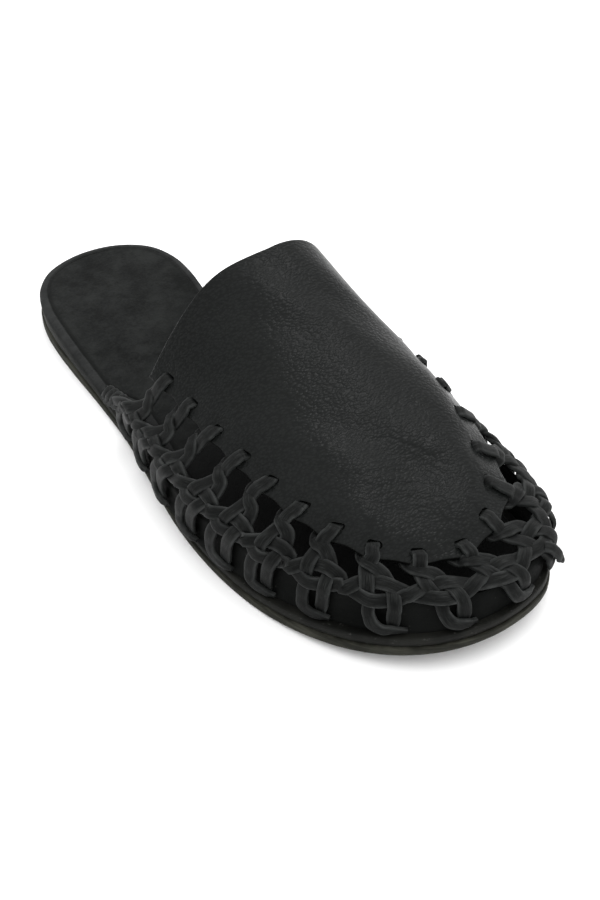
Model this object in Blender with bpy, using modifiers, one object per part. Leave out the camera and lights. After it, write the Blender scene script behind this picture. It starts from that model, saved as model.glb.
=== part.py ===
"""Woven mule sandal for the right foot: three-layer sole, toe band, vamp and braided lace.

The shoe is worked out in millimetres in its own frame: x toward the medial side, y forward from the back of
the heel, z up from the floor. to_part turns those points into the part's frame in metres, with +Z up, the toe
toward -Y, the lateral side toward -X and the origin under the middle of the bounding box.
"""
import bmesh
import bpy
import numpy as np

for old in list(bpy.data.objects):
    bpy.data.objects.remove(old)
PARTS = bpy.data.collections.new("woven_mule_sandal")
CUTTERS = bpy.data.collections.new("cutters")
for collection in (PARTS, CUTTERS):
    bpy.context.scene.collection.children.link(collection)

MM = 0.001
LENGTH = 275.0
MIDDLE_X = -2.4
GAP = 0.3
MERGE = 0.00005  # metres
SHARP_ANGLE = 0.7  # radians
CURVE_STEPS = 24  # points in each span of a smooth curve

# Sole: outline and edge profiles
SOLE_OUTLINE = (  # share of length, lateral edge, medial edge
    (0.02, -18.7, 21.0),
    (0.05, -26.8, 29.8),
    (0.10, -32.9, 34.2),
    (0.15, -35.8, 33.9),
    (0.20, -37.5, 31.7),
    (0.30, -39.9, 27.9),
    (0.40, -43.2, 26.4),
    (0.50, -49.2, 29.8),
    (0.60, -54.4, 39.3),
    (0.70, -55.8, 46.4),
    (0.80, -52.2, 47.1),
    (0.85, -47.8, 45.8),
    (0.90, -41.2, 42.6),
    (0.95, -30.2, 36.2),
    (0.98, -18.6, 27.6),
)
HEEL_TIP_X = 1.0
TOE_TIP_X = 4.5
SPRING_START = 0.72
TOE_SPRING = 8.6
STATIONS = 30
LAYER_HEIGHTS = (0.0, 4.7, 5.0, 9.5, 9.8, 14.0)  # bottom and top of outsole, midsole and insole at the heel
SOLE_DROP = (  # y, how far the tops of outsole, midsole and insole lie below those heights
    (0.0, 0.0, 0.0, 0.0),
    (40.0, 0.0, 0.0, 0.0),
    (95.0, 2.0, 4.2, 4.6),
    (150.0, 1.8, 3.8, 4.2),
    (200.0, 1.4, 3.0, 3.4),
    (245.0, 0.8, 1.7, 2.1),
    (275.0, 0.9, 1.9, 2.3),
)
OUTSOLE_EDGE = ((1.0, 0.0), (0.0, 0.8), (0.0, 4.2), (0.5, 4.7))  # inset, height
MIDSOLE_EDGE = ((1.2, 5.0), (0.7, 5.5), (0.7, 8.9), (1.4, 9.5))
INSOLE_EDGE = ((0.6, 9.8), (0.0, 10.4), (0.0, 12.8), (1.1, 13.8), (2.4, 14.0))
INSOLE_REAR_INSET = 0.2
INSOLE_FRONT_INSET = 8.3
INSOLE_STEP = (0.305, 0.372)  # shares of length between which the insole draws in

# Upper: the wall leaves the feather line, passes the row of slots and closes at the ridge
FEATHER_INSET_LATERAL = ((90.0, 0.5), (125.0, -0.8), (165.0, -0.8), (195.0, 1.5), (215.0, 3.0), (275.0, 3.0))
FEATHER_INSET_MEDIAL = (  # y, inset from the sole's edge
    (90.0, 2.0), (190.0, 2.0), (215.0, 0.6), (250.0, 0.4), (268.0, 2.4), (275.0, 3.0),
)
FEATHER_REAR_Y = 99.0
FEATHER_HEIGHT = MIDSOLE_EDGE[-1][1] + GAP
SLOT_ROW = (  # y, lateral x, lateral z, medial x, medial z
    (112.0, -36.0, 45.0, 45.0, 43.4),
    (135.0, -36.0, 45.0, 46.3, 43.0),
    (151.0, -36.8, 44.2, 46.4, 42.5),
    (170.0, -37.8, 44.0, 45.8, 42.5),
    (192.0, -37.7, 43.0, 42.1, 42.5),
    (212.0, -36.0, 41.0, 35.8, 41.0),
    (228.0, -31.1, 38.5, 29.5, 38.0),
    (242.0, -21.7, 35.0, 21.5, 35.4),
)
SLOT_ROW_TIP = (0.0, 251.8, 32.4)
COLLAR_Y = 124.7
RIDGE = (  # y, x, z
    (105.0, 16.0, 85.0),
    (126.6, 13.5, 77.2),
    (150.0, 10.0, 67.7),
    (178.0, 6.5, 57.2),
    (200.0, 4.6, 49.6),
    (220.0, 3.7, 43.0),
)
RIDGE_COLLAR_Y = 126.6
RIDGE_TOE_Y = 220.0
TOE_FAN = 0.14  # share of the wall on each side of the toe that closes on the ridge's front end
COLLAR_FADE = 0.2  # share behind which the wall runs straight up to the slots
WALL_BULGE = 1.8
WALL_LEAN = (  # share, outward lean of the wall where it leaves the feather line
    (0.0, 0.1), (0.2, 0.1), (0.34, 0.05), (0.45, 0.0), (0.53, 0.35), (0.62, 0.8), (0.75, 0.4), (1.0, 0.2),
)
FOOT_SHIFT = (  # share, how far ahead of the slots the sections start on the feather line
    (0.0, 2.0), (0.06, -2.5), (0.13, -6.0), (0.1955, -6.5), (0.2466, -7.5), (0.297, -8.5), (0.3446, -4.8),
    (0.3915, 0.6), (0.4423, 6.0),
    (0.5, 8.5), (0.58, 9.5), (0.7, 10.0), (1.0, 10.0),
)
CROWN_FULLNESS = (  # share, pull at the ridge
    (0.0, 1.7), (0.36, 1.05), (0.5, 1.0), (0.64, 1.0), (0.85, 1.1), (1.0, 2.0),
)
SHOULDER_FULLNESS = (  # share, pull at the slots
    (0.0, 1.55), (0.36, 1.1), (0.5, 1.1), (0.64, 1.05), (0.85, 1.05), (1.0, 1.65),
)
WALL_STEPS = 41
WALL_REACH = 1.5
SMALL_SHARE = 0.002  # steps for directions on the wall
SMALL_RISE = 0.5

# Vamp, band and lace
SLOTS = 19
FIRST_SLOT = 0.0275
SLOT_PITCH = (1.0 - 2.0 * FIRST_SLOT) / (SLOTS - 1)
SLOT_SHIFT = (  # off an even spacing, for each slot
    0.0, 0.6, 2.2, 3.0, 2.6, 2.1, 0.6, -1.0, -1.5, -0.8, -1.5, -2.6, -2.4, -1.0, 0.0, 0.0, 0.0, 0.0, 0.0,
)
SLOT_ROW_LENGTH = 286.0
EDGE_BELOW_SLOT = (  # share, how far the vamp reaches below its slots
    (0.0, 4.6), (0.34, 4.6), (0.4, 4.2), (0.4475, 4.0), (0.5, 4.6), (0.5525, 6.2), (0.605, 9.4), (0.66, 9.6),
    (0.75, 8.0), (0.85, 6.0), (1.0, 5.0),
)
VAMP_THICKNESS = 2.0
VAMP_COLUMNS = 40
VAMP_ROWS = (1.0, 1.1, 1.25, 1.42, 1.6, 1.8, 2.0)  # 1 at the slots, 2 at the ridge
SLOT_SIZE = (6.0, 3.0, 7.0)  # along the edge, up the wall, through the leather
SLOT_LEAD = 1.2
BAND_OUTSIDE = -2.6
BAND_ENDS = (0.016, 0.952)  # shares
BAND_THICKNESS = 2.0
BAND_HEIGHT = ((0.0, 7.0), (0.12, 11.5), (0.3, 15.0), (0.5, 14.5), (0.7, 15.0), (0.88, 11.5), (1.0, 7.0))
BAND_LEVELS = (0.0, 0.35, 0.7, 1.0)
BAND_SECTIONS = 57
LACE_WIDTH = 4.8
LACE_THICKNESS = 1.6
CHAIN_HEIGHT = 17.5
CHAIN_LIFT = (  # share, how far the chain stands above that height
    (0.0, 7.4), (0.1955, 6.9), (0.2466, 5.8), (0.297, 4.4), (0.3446, 1.8), (0.3915, -0.2),
    (0.4423, -0.5), (0.55, -0.2), (0.7, 3.2), (1.0, 5.9),
)
CHAIN_LEAD = 1.7  # how far the chain's loops lie ahead of their slots
TRACK = 3.0  # distance of each strand from the middle of the chain
LEG = 3.25  # distance of each leg from the middle of its loop
BEND = 6.4  # where a strand leaves its track to cross the other one
OVER = 0.45  # how far a strip rises or dips at a crossing
LACE_FACES_KEPT = 0.66

# The lace is woven flat, one loop every FLAT_PITCH, and then wrapped onto the wall
FLAT_PITCH = 19.0
LOOP_HALF = 5.2  # half width of a loop that keeps its size on the wall
FOOT_TOP = 8.2  # below this, heights on the wall are those of the flat lace
CHAIN_BOTTOM = CHAIN_HEIGHT - TRACK - LACE_WIDTH / 2
CHAIN_TOP = CHAIN_HEIGHT + TRACK + LACE_WIDTH / 2
FLAT_EDGE = CHAIN_TOP + 7.0
FLAT_SLOT = FLAT_EDGE + 4.6
SLOT_ZONE = 1.9  # below the slots, the height that keeps its size
FLAT_HEIGHTS = {"slot": FLAT_SLOT, "edge": FLAT_EDGE, "chain": CHAIN_HEIGHT, "foot": 0.0}
LEFT_LEG = (  # measured from, along the edge, up the wall, out of the wall
    ("slot", 1.0, 0.4, -3.6),
    ("slot", 1.0, 0.2, 1.0),
    ("slot", 0.9, -1.0, 2.3),
    ("edge", 0.6, -0.6, 2.5),
    ("edge", -0.6, -3.6, -0.2),
    ("chain", CHAIN_LEAD - LEG, TRACK, OVER),
    ("chain", CHAIN_LEAD - LEG - 0.3, -TRACK, -OVER),
    ("foot", -LEG - 0.3, 8.2, 0.1),
    ("foot", -2.2, 5.2, 0.5),
    ("foot", 0.8, 3.5, 0.6),
    ("foot", 4.4, 3.1, 0.5),
)
RIGHT_LEG = (  # measured from, along the edge, up the wall, out of the wall
    ("foot", 3.0, 3.6, -0.5),
    ("chain", CHAIN_LEAD + LEG - 0.2, -TRACK, OVER),
    ("chain", CHAIN_LEAD + LEG + 0.1, TRACK, -OVER),
    ("edge", 3.2, -5.2, 0.3),
    ("edge", 0.0, -3.8, 0.9),
    ("edge", -3.4, -2.2, -2.3),
    ("edge", -3.6, 0.6, -2.9),
    ("slot", 0.6, 0.3, -2.9),
)
STRAND_END = ((9.5, -6.0, 0.4), (8.3, -4.4, -0.5))  # past the last leg, up, out, for each strand

COLOURS = {  # base colour, roughness
    "outsole": ((0.022, 0.020, 0.018), 0.7),
    "midsole": ((0.018, 0.016, 0.015), 0.6),
    "insole": ((0.030, 0.030, 0.031), 0.9),
    "toe_band": ((0.014, 0.014, 0.014), 0.6),
    "vamp": ((0.012, 0.012, 0.012), 0.5),
    "lace_braid": ((0.020, 0.020, 0.020), 0.6),
}


def hermite(start, start_pull, end, end_pull, s):
    """Cubic from start to end with the given pulls, at s from 0 to 1."""
    return ((2 * s**3 - 3 * s**2 + 1) * start + (s**3 - 2 * s**2 + s) * start_pull
            + (3 * s**2 - 2 * s**3) * end + (s**3 - s**2) * end_pull)


def smooth_curve(points, closed=False):
    """Dense points of a smooth curve through the given points."""
    p = np.asarray(points, float)
    if closed:
        p = np.vstack([p, p[:1]])
    step = np.linalg.norm(np.diff(p, axis=0), axis=1)[:, None]
    slope = np.diff(p, axis=0) / step
    pull = np.empty_like(p)
    pull[1:-1] = (slope[:-1] * step[1:] + slope[1:] * step[:-1]) / (step[:-1] + step[1:])
    pull[0] = slope[0]
    pull[-1] = slope[-1]
    if closed:
        pull[0] = (slope[-1] * step[0] + slope[0] * step[-1]) / (step[0] + step[-1])
        pull[-1] = pull[0]
    s = np.linspace(0.0, 1.0, CURVE_STEPS, endpoint=False)[:, None]
    spans = [hermite(p[i], pull[i] * step[i], p[i + 1], pull[i + 1] * step[i], s) for i in range(len(step))]
    return np.vstack(spans + [p[-1:]])


def smooth_table(rows, x):
    """Values of a table at x, on a smooth curve through its rows."""
    at, value = np.array(rows).T
    slope = np.gradient(value, at)
    i = np.clip(np.searchsorted(at, x) - 1, 0, len(at) - 2)
    step = at[i + 1] - at[i]
    s = np.clip((x - at[i]) / step, 0.0, 1.0)
    return hermite(value[i], slope[i] * step, value[i + 1], slope[i + 1] * step, s)


def run_of(curve):
    """Distance along a dense curve at each of its points."""
    return np.concatenate([[0.0], np.cumsum(np.linalg.norm(np.diff(curve, axis=0), axis=1))])


def point_at(curve, run, distance):
    """Points of a dense curve at distances along it."""
    return np.stack([np.interp(distance, run, curve[:, k]) for k in range(curve.shape[1])], axis=-1)


def unit(v):
    return v / np.linalg.norm(v, axis=-1, keepdims=True)


def toe_spring(y):
    """How far the sole has lifted off the floor."""
    return TOE_SPRING * np.clip((y / LENGTH - SPRING_START) / (1.0 - SPRING_START), 0.0, None) ** 2


def sole_height(height, y):
    """Height above the floor of what lies at the given height at the heel: the sole thins ahead of it."""
    y_rows, *drops = np.array(SOLE_DROP).T
    drops = [np.zeros_like(y)] + [smooth_table(np.column_stack([y_rows, drop]), y) for drop in drops]
    layer = np.interp(height, LAYER_HEIGHTS, (0, 1, 1, 2, 2, 3))
    low = min(int(layer), len(drops) - 2)
    drop = drops[low] + (layer - low) * (drops[low + 1] - drops[low])
    return height - drop + toe_spring(y)


def to_part(points):
    """Shoe millimetres to the part's frame in metres."""
    p = np.asarray(points, float)
    return np.stack([p[..., 0] - MIDDLE_X, LENGTH / 2 - p[..., 1], p[..., 2]], axis=-1) * MM


# Sole
def sole_sides():
    """Dense lateral and medial halves of the outline, both from heel tip to toe tip, with inward normals."""
    lateral = [(row[1], row[0] * LENGTH) for row in SOLE_OUTLINE]
    medial = [(row[2], row[0] * LENGTH) for row in SOLE_OUTLINE]
    ring = smooth_curve([(HEEL_TIP_X, 0.0)] + lateral + [(TOE_TIP_X, LENGTH)] + medial[::-1], closed=True)
    along = unit(np.roll(ring[:-1], -1, axis=0) - np.roll(ring[:-1], 1, axis=0))
    inward = np.stack([along[:, 1], -along[:, 0]], axis=1)
    inward = np.vstack([inward, inward[:1]])
    toe = int(np.argmax(ring[:, 1]))
    return (ring[: toe + 1], inward[: toe + 1]), (ring[toe:][::-1], inward[toe:][::-1])


def sole_ring(inset):
    """The outline drawn in by inset(y): heel tip, lateral points, toe tip, medial points back to the heel."""
    y = LENGTH / 2 * (1.0 - np.cos(np.linspace(0.0, np.pi, STATIONS + 1)))
    halves = []
    for side, inward in sole_sides():
        rows = [np.interp(y, side[:, 1], column) for column in (side[:, 0], inward[:, 0], inward[:, 1])]
        edge = np.stack([rows[0], y], axis=1)
        halves.append(edge + unit(np.stack(rows[1:], axis=1)) * inset(y)[:, None])
    lateral, medial = halves
    return np.vstack([lateral, medial[-2:0:-1]])


def sole_layer(name, profile, inset):
    """A closed layer of the sole, one ring of the outline for each row of its edge profile."""
    bm = bmesh.new()
    rings = []
    for extra, height in profile:
        flat = sole_ring(lambda y: inset(y) + extra)
        ring = np.column_stack([flat, sole_height(height, flat[:, 1])])
        rings.append([bm.verts.new(p) for p in to_part(ring)])
    for low, high in zip(rings[:-1], rings[1:]):
        skin_between(bm, low, high)
    for ring in (rings[0], rings[-1]):
        cap_outline(bm, ring)
    return finish_solid(name, bm)


def skin_between(bm, low, high):
    """Quads between two closed rings of vertices."""
    for i in range(len(low)):
        j = (i + 1) % len(low)
        bm.faces.new((low[i], low[j], high[j], high[i]))


def cap_outline(bm, ring):
    """Close an outline ring with strips across the shoe."""
    half = len(ring) // 2
    bm.faces.new((ring[0], ring[1], ring[-1]))
    for k in range(1, half - 1):
        bm.faces.new((ring[k], ring[k + 1], ring[-k - 1], ring[-k]))
    bm.faces.new((ring[half - 1], ring[half], ring[half + 1]))


def insole_inset(y):
    """Full width under the heel, inside the band in front."""
    s = np.clip((y / LENGTH - INSOLE_STEP[0]) / (INSOLE_STEP[1] - INSOLE_STEP[0]), 0.0, 1.0)
    return INSOLE_REAR_INSET + (INSOLE_FRONT_INSET - INSOLE_REAR_INSET) * s * s * (3.0 - 2.0 * s)


# Upper: one surface that the vamp, band and lace all follow
class Rail:
    """A curve round the toe, with share 0 at the lateral rear and 1 at the medial rear, at the given y."""

    def __init__(self, curve, rear_y):
        self.curve = curve
        self.run = run_of(curve)
        tip = int(np.argmax(curve[:, 1]))
        self.start = np.interp(rear_y, curve[: tip + 1, 1], self.run[: tip + 1])
        self.end = np.interp(-rear_y, -curve[tip:, 1], self.run[tip:])

    def at(self, share):
        return point_at(self.curve, self.run, self.start + share * (self.end - self.start))


def slot_rail():
    lateral = [(row[1], row[0], row[2]) for row in SLOT_ROW]
    medial = [(row[3], row[0], row[4]) for row in SLOT_ROW]
    return Rail(smooth_curve(lateral + [SLOT_ROW_TIP] + medial[::-1]), COLLAR_Y)


def feather_rail():
    (lateral, lateral_in), (medial, medial_in) = sole_sides()
    lateral = lateral + lateral_in * smooth_table(FEATHER_INSET_LATERAL, lateral[:, 1])[:, None]
    medial = medial + medial_in * smooth_table(FEATHER_INSET_MEDIAL, medial[:, 1])[:, None]
    flat = np.vstack([lateral, medial[-2::-1]])
    return Rail(np.column_stack([flat, sole_height(FEATHER_HEIGHT, flat[:, 1])]), FEATHER_REAR_Y)


SLOT_RAIL = slot_rail()
FEATHER_RAIL = feather_rail()
RIDGE_LINE = smooth_curve(RIDGE)


def ridge_at(share):
    """Ridge point that a section closes on, and the ridge's slope there."""
    back = np.clip((np.abs(share - 0.5) - TOE_FAN) / (0.5 - TOE_FAN), 0.0, None)
    y = RIDGE_TOE_Y + (RIDGE_COLLAR_Y - RIDGE_TOE_Y) * back
    x = np.interp(y, RIDGE_LINE[:, 0], RIDGE_LINE[:, 1])
    z = np.interp(y, RIDGE_LINE[:, 0], RIDGE_LINE[:, 2])
    slope = np.interp(y, RIDGE_LINE[:, 0], np.gradient(RIDGE_LINE[:, 2], RIDGE_LINE[:, 0]))
    return np.stack([x, y, z], axis=-1), slope


def foot_at(share):
    """Point of the feather line that a section starts from, and the direction in which the wall leaves it."""
    there = share + smooth_table(FOOT_SHIFT, share) / (FEATHER_RAIL.end - FEATHER_RAIL.start)
    along = FEATHER_RAIL.at(there + SMALL_SHARE) - FEATHER_RAIL.at(there - SMALL_SHARE)
    outward = np.stack([-along[..., 1], along[..., 0], np.zeros_like(there)], axis=-1)
    lean = smooth_table(WALL_LEAN, share)[..., None]
    return FEATHER_RAIL.at(there), unit(unit(outward) * lean + np.array([0.0, 0.0, 1.0]))


def section(share, q):
    """Points of the upper's middle surface: q is 0 at the feather line, 1 at the slots and 2 at the ridge."""
    slot = SLOT_RAIL.at(share)
    feather, rise = foot_at(share)
    ridge, slope = ridge_at(share)
    shoulder = smooth_table(SHOULDER_FULLNESS, share)[..., None]
    crown_pull = smooth_table(CROWN_FULLNESS, share)[..., None]
    outward = slot - ridge
    outward[..., 2] = slope * outward[..., 1]
    fall = unit(slot - ridge) + unit(feather - slot)
    s = np.clip(np.minimum(share, 1.0 - share) / COLLAR_FADE, 0.0, 1.0)
    fall[..., 1] *= s * s * (3.0 - 2.0 * s)
    fall = unit(fall)
    low = np.linalg.norm(feather - slot, axis=-1, keepdims=True) * WALL_BULGE
    high = np.linalg.norm(slot - ridge, axis=-1, keepdims=True) * shoulder
    q = q[..., None]
    wall = hermite(feather, low * rise, slot, -fall * low, np.clip(q, 0.0, 1.0))
    crown = hermite(slot, -fall * high, ridge, -outward * crown_pull, np.clip(q - 1.0, 0.0, 1.0))
    return np.where(q <= 1.0, wall, crown)


def wall_curves(share):
    """Sections through the lower wall at each share, with the distance up from the feather line."""
    q = np.linspace(0.0, WALL_REACH, WALL_STEPS)
    grid = (WALL_STEPS, len(share))
    curves = section(np.broadcast_to(share, grid), np.broadcast_to(q[:, None], grid))
    steps = np.linalg.norm(np.diff(curves, axis=0), axis=2)
    run = np.vstack([np.zeros(len(share)), np.cumsum(steps, axis=0)])
    return curves, run, q


def wall(share, up):
    """Points of the wall at distances up from the feather line."""
    curves, run, _ = wall_curves(share)
    return np.array([point_at(curves[:, i], run[:, i], up[i]) for i in range(len(share))])


def slot_height(share):
    """Distance of the slots up the wall."""
    _, run, q = wall_curves(share)
    return np.array([np.interp(1.0, q, run[:, i]) for i in range(len(share))])


def wall_speed(share, up):
    """Millimetres along the wall for each unit of share."""
    apart = np.linalg.norm(wall(share + SMALL_SHARE, up) - wall(share - SMALL_SHARE, up), axis=1)
    return apart / (2.0 * SMALL_SHARE)


def place(share, along, up, out):
    """Points set off from the wall, with the directions along the edge, up the wall and out of it."""
    there = share + along / wall_speed(share, up)
    edgewise = unit(wall(there + SMALL_SHARE, up) - wall(there - SMALL_SHARE, up))
    upward = unit(wall(there, up + SMALL_RISE) - wall(there, up - SMALL_RISE))
    normal = unit(np.cross(upward, edgewise))
    return wall(there, up) + normal * out[:, None], edgewise, upward, normal


def edge_height(share):
    """Distance of the vamp's edge up the wall."""
    return slot_height(share) - smooth_table(EDGE_BELOW_SLOT, share)


def slot_shares():
    return FIRST_SLOT + SLOT_PITCH * np.arange(SLOTS) + np.array(SLOT_SHIFT) / SLOT_ROW_LENGTH


def vamp():
    """Grained panel from below the slots up to the ridge, open at the collar, with the slots cut through."""
    shares = np.linspace(0.0, 1.0, VAMP_COLUMNS + 1)
    edge = edge_height(shares)
    below = [wall(shares, edge), wall(shares, (edge + slot_height(shares)) / 2)]
    rows = below + [section(shares, np.full(len(shares), q)) for q in VAMP_ROWS]
    bm = bmesh.new()
    grid = [[bm.verts.new(p) for p in to_part(row)] for row in rows]
    for low, high in zip(grid[:-1], grid[1:]):
        for i in range(len(shares) - 1):
            bm.faces.new((low[i], low[i + 1], high[i + 1], high[i]))
    bmesh.ops.remove_doubles(bm, verts=bm.verts, dist=MERGE)
    panel = finish_solid("vamp", bm)
    shell = panel.modifiers.new("leather", "SOLIDIFY")
    shell.thickness = VAMP_THICKNESS * MM
    shell.offset = 0.0
    shell.use_even_offset = True
    cut = panel.modifiers.new("slots", "BOOLEAN")
    cut.operation = "DIFFERENCE"
    cut.object = slot_cutter()
    return panel


def slot_cutter():
    """One block for each slot."""
    shares = slot_shares()
    zero = np.zeros(SLOTS)
    centre, edgewise, upward, normal = place(shares, zero + SLOT_LEAD, slot_height(shares), zero)
    bm = bmesh.new()
    for c, axes in zip(centre, np.stack([edgewise, upward, normal], axis=1)):
        block = bmesh.ops.create_cube(bm, size=1.0)["verts"]
        for vert in block:
            vert.co = to_part(c + (np.array(vert.co) * SLOT_SIZE) @ axes)
    return as_cutter(finish_solid("slot_blocks", bm))


def toe_band():
    """Low wall inside the lace, from the lateral waist round the toe to the medial waist."""
    shares = np.linspace(*BAND_ENDS, BAND_SECTIONS)
    height = np.interp(shares, *np.array(BAND_HEIGHT).T)
    zero = np.zeros(BAND_SECTIONS)
    faces = []
    for out in (BAND_OUTSIDE, BAND_OUTSIDE - BAND_THICKNESS):
        rows = [place(shares, zero, height * level, zero + out)[0] for level in BAND_LEVELS]
        rows[0][:, 2] = sole_height(FEATHER_HEIGHT, rows[0][:, 1])
        faces.append(rows)
    rings = np.stack(faces[0] + faces[1][::-1], axis=1)
    return sweep("toe_band", to_part(rings))


def sweep(name, rings):
    """A closed bar through rings of vertices, each ring one face of points and then the other, reversed."""
    bm = bmesh.new()
    rows = [[bm.verts.new(p) for p in ring] for ring in rings]
    for low, high in zip(rows[:-1], rows[1:]):
        skin_between(bm, low, high)
    for ring in (rows[0], rows[-1]):
        for k in range(len(ring) // 2 - 1):
            bm.faces.new((ring[k], ring[k + 1], ring[-k - 2], ring[-k - 1]))
    return finish_solid(name, bm)


def strip(name, path):
    """A flat lace along a path of the flat weave."""
    path = np.asarray(path, float)
    heading = unit(np.gradient(path[:, :2], axis=0))
    across = np.column_stack([heading[:, 1], -heading[:, 0], np.zeros(len(path))])
    forward = unit(np.gradient(path, axis=0))
    wide = across * LACE_WIDTH / 2
    thick = np.cross(across, forward) * LACE_THICKNESS / 2
    corners = (path - wide + thick, path + wide + thick, path + wide - thick, path - wide - thick)
    return sweep(name, np.stack(corners, axis=1) * MM)


def leg(name, loop, table):
    """One leg of a loop, from its table of anchors."""
    return strip(name, [(loop * FLAT_PITCH + row[1], FLAT_HEIGHTS[row[0]] + row[2], row[3]) for row in table])


def strand(name, first):
    """One strand round the shoe: first is 1 where it starts on the upper track and -1 on the lower one."""
    past, rise, out = STRAND_END[0] if first > 0 else STRAND_END[1]
    path = [(CHAIN_LEAD - past, CHAIN_HEIGHT + rise, out)]
    for loop in range(SLOTS):
        track = first * (-1) ** loop
        middle = loop * FLAT_PITCH + CHAIN_LEAD
        for along, side in ((-BEND, 1), (-LEG, -1), (LEG, 1), (BEND, -1)):
            path.append((middle + along, CHAIN_HEIGHT + track * TRACK, side * track * OVER))
    path.append((middle + past, CHAIN_HEIGHT + rise, out))
    return strip(name, path)


def wrap(flat):
    """Points of the flat weave set onto the wall: the chain is lifted, and the legs stretch to the slots."""
    nodes = slot_shares()
    loop = np.clip(np.round(flat[:, 0] / FLAT_PITCH), 0, SLOTS - 1).astype(int)
    along = flat[:, 0] - loop * FLAT_PITCH
    share = nodes[loop]
    beside = np.concatenate([[nodes[0] - SLOT_PITCH], nodes, [nodes[-1] + SLOT_PITCH]])
    half_pitch = np.where(along < 0.0, share - beside[loop], beside[loop + 2] - share) / 2
    slot = slot_height(share)
    edge = edge_height(share)
    lift = smooth_table(CHAIN_LIFT, share)
    height = flat[:, 1]
    lifted = np.clip((height - FOOT_TOP) / (CHAIN_BOTTOM - FOOT_TOP), 0.0, 1.0)
    up = np.minimum(height, CHAIN_TOP) + lift * lifted
    up = up + np.clip((height - CHAIN_TOP) / (FLAT_EDGE - CHAIN_TOP), 0.0, 1.0) * (edge - CHAIN_TOP - lift)
    zone = FLAT_SLOT - SLOT_ZONE
    up = up + np.clip((height - FLAT_EDGE) / (zone - FLAT_EDGE), 0.0, 1.0) * (slot - SLOT_ZONE - edge)
    up = up + np.clip(height - zone, 0.0, None)
    core = np.clip(along, -LOOP_HALF, LOOP_HALF)
    outer = (along - core) / (FLAT_PITCH / 2 - LOOP_HALF)
    half_gap = half_pitch - LOOP_HALF / wall_speed(share, up)
    return place(share + outer * half_gap, core, up, flat[:, 2])[0]


def lace_braid():
    """Loops and strands joined into one solid where they cross."""
    whole = strand("upper_strand", 1)
    PARTS.objects.link(whole)
    strips = bpy.data.collections.new("lace_strips")
    CUTTERS.children.link(strips)
    strips.objects.link(strand("lower_strand", -1))
    for loop in range(SLOTS):
        strips.objects.link(leg(f"left_leg_{loop + 1}", loop, LEFT_LEG))
        strips.objects.link(leg(f"right_leg_{loop + 1}", loop, RIGHT_LEG))
    union = whole.modifiers.new("crossings", "BOOLEAN")
    union.operation = "UNION"
    union.operand_type = "COLLECTION"
    union.collection = strips
    thinned = whole.modifiers.new("fewer_faces", "DECIMATE")
    thinned.ratio = LACE_FACES_KEPT
    bm = bmesh.new()
    bm.from_object(whole, bpy.context.evaluated_depsgraph_get())
    for spent in [whole] + list(strips.objects):
        bpy.data.objects.remove(spent)
    bpy.data.collections.remove(strips)
    keep_outer_skin(bm)
    flat = np.array([vert.co for vert in bm.verts]) / MM
    for vert, point in zip(bm.verts, to_part(wrap(flat))):
        vert.co = point
    return finish_solid("lace_braid", bm)


def keep_outer_skin(bm):
    """Drop the closed pockets that crossing strips leave inside the solid."""
    rest = set(bm.faces)
    skins = []
    while rest:
        queue = [rest.pop()]
        skin = set(queue)
        while queue:
            near = {f for edge in queue.pop().edges for f in edge.link_faces} & rest
            rest -= near
            skin |= near
            queue += near
        skins.append(skin)
    skins.sort(key=len)
    for skin in skins[:-1]:
        bmesh.ops.delete(bm, geom=list(skin), context="FACES")


# Objects, collections and materials
def finish_solid(name, bm):
    bmesh.ops.recalc_face_normals(bm, faces=bm.faces)
    closed = all(edge.is_manifold for edge in bm.edges)
    if closed and bm.calc_volume(signed=True) < 0.0:
        bmesh.ops.reverse_faces(bm, faces=bm.faces)
    mesh = bpy.data.meshes.new(name)
    bm.to_mesh(mesh)
    bm.free()
    mesh.shade_smooth()
    mesh.set_sharp_from_angle(angle=SHARP_ANGLE)
    return bpy.data.objects.new(name, mesh)


def as_cutter(obj):
    obj.hide_render = True
    obj.display_type = "WIRE"
    CUTTERS.objects.link(obj)
    return obj


def as_part(obj):
    colour, roughness = COLOURS[obj.name]
    material = bpy.data.materials.new(obj.name)
    material.use_nodes = True
    shader = material.node_tree.nodes["Principled BSDF"]
    shader.inputs["Base Color"].default_value = (*colour, 1.0)
    shader.inputs["Roughness"].default_value = roughness
    shader.inputs["Metallic"].default_value = 0.0
    obj.data.materials.append(material)
    PARTS.objects.link(obj)


as_part(sole_layer("outsole", OUTSOLE_EDGE, np.zeros_like))
as_part(sole_layer("midsole", MIDSOLE_EDGE, np.zeros_like))
as_part(sole_layer("insole", INSOLE_EDGE, insole_inset))
as_part(toe_band())
as_part(vamp())
as_part(lace_braid())
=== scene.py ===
import math

import bmesh
import bpy
import numpy as np
from mathutils import Matrix, Vector


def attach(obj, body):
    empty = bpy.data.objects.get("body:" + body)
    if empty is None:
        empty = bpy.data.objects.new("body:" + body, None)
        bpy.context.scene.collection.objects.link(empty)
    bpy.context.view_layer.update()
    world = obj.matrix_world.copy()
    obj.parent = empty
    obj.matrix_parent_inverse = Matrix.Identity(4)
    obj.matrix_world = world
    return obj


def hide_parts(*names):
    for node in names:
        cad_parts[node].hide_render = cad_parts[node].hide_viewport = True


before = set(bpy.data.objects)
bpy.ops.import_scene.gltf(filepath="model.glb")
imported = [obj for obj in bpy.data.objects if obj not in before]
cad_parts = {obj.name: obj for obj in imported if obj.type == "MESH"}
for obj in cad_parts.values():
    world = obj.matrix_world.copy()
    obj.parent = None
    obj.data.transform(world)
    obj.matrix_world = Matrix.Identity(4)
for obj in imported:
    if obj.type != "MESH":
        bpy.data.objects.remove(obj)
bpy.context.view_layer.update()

# Frame of the shoe, in millimetres: x toward the medial side, y forward from the back of the heel, z up
MM = 0.001
LENGTH = 275.0
MIDDLE_X = -2.4
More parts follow.
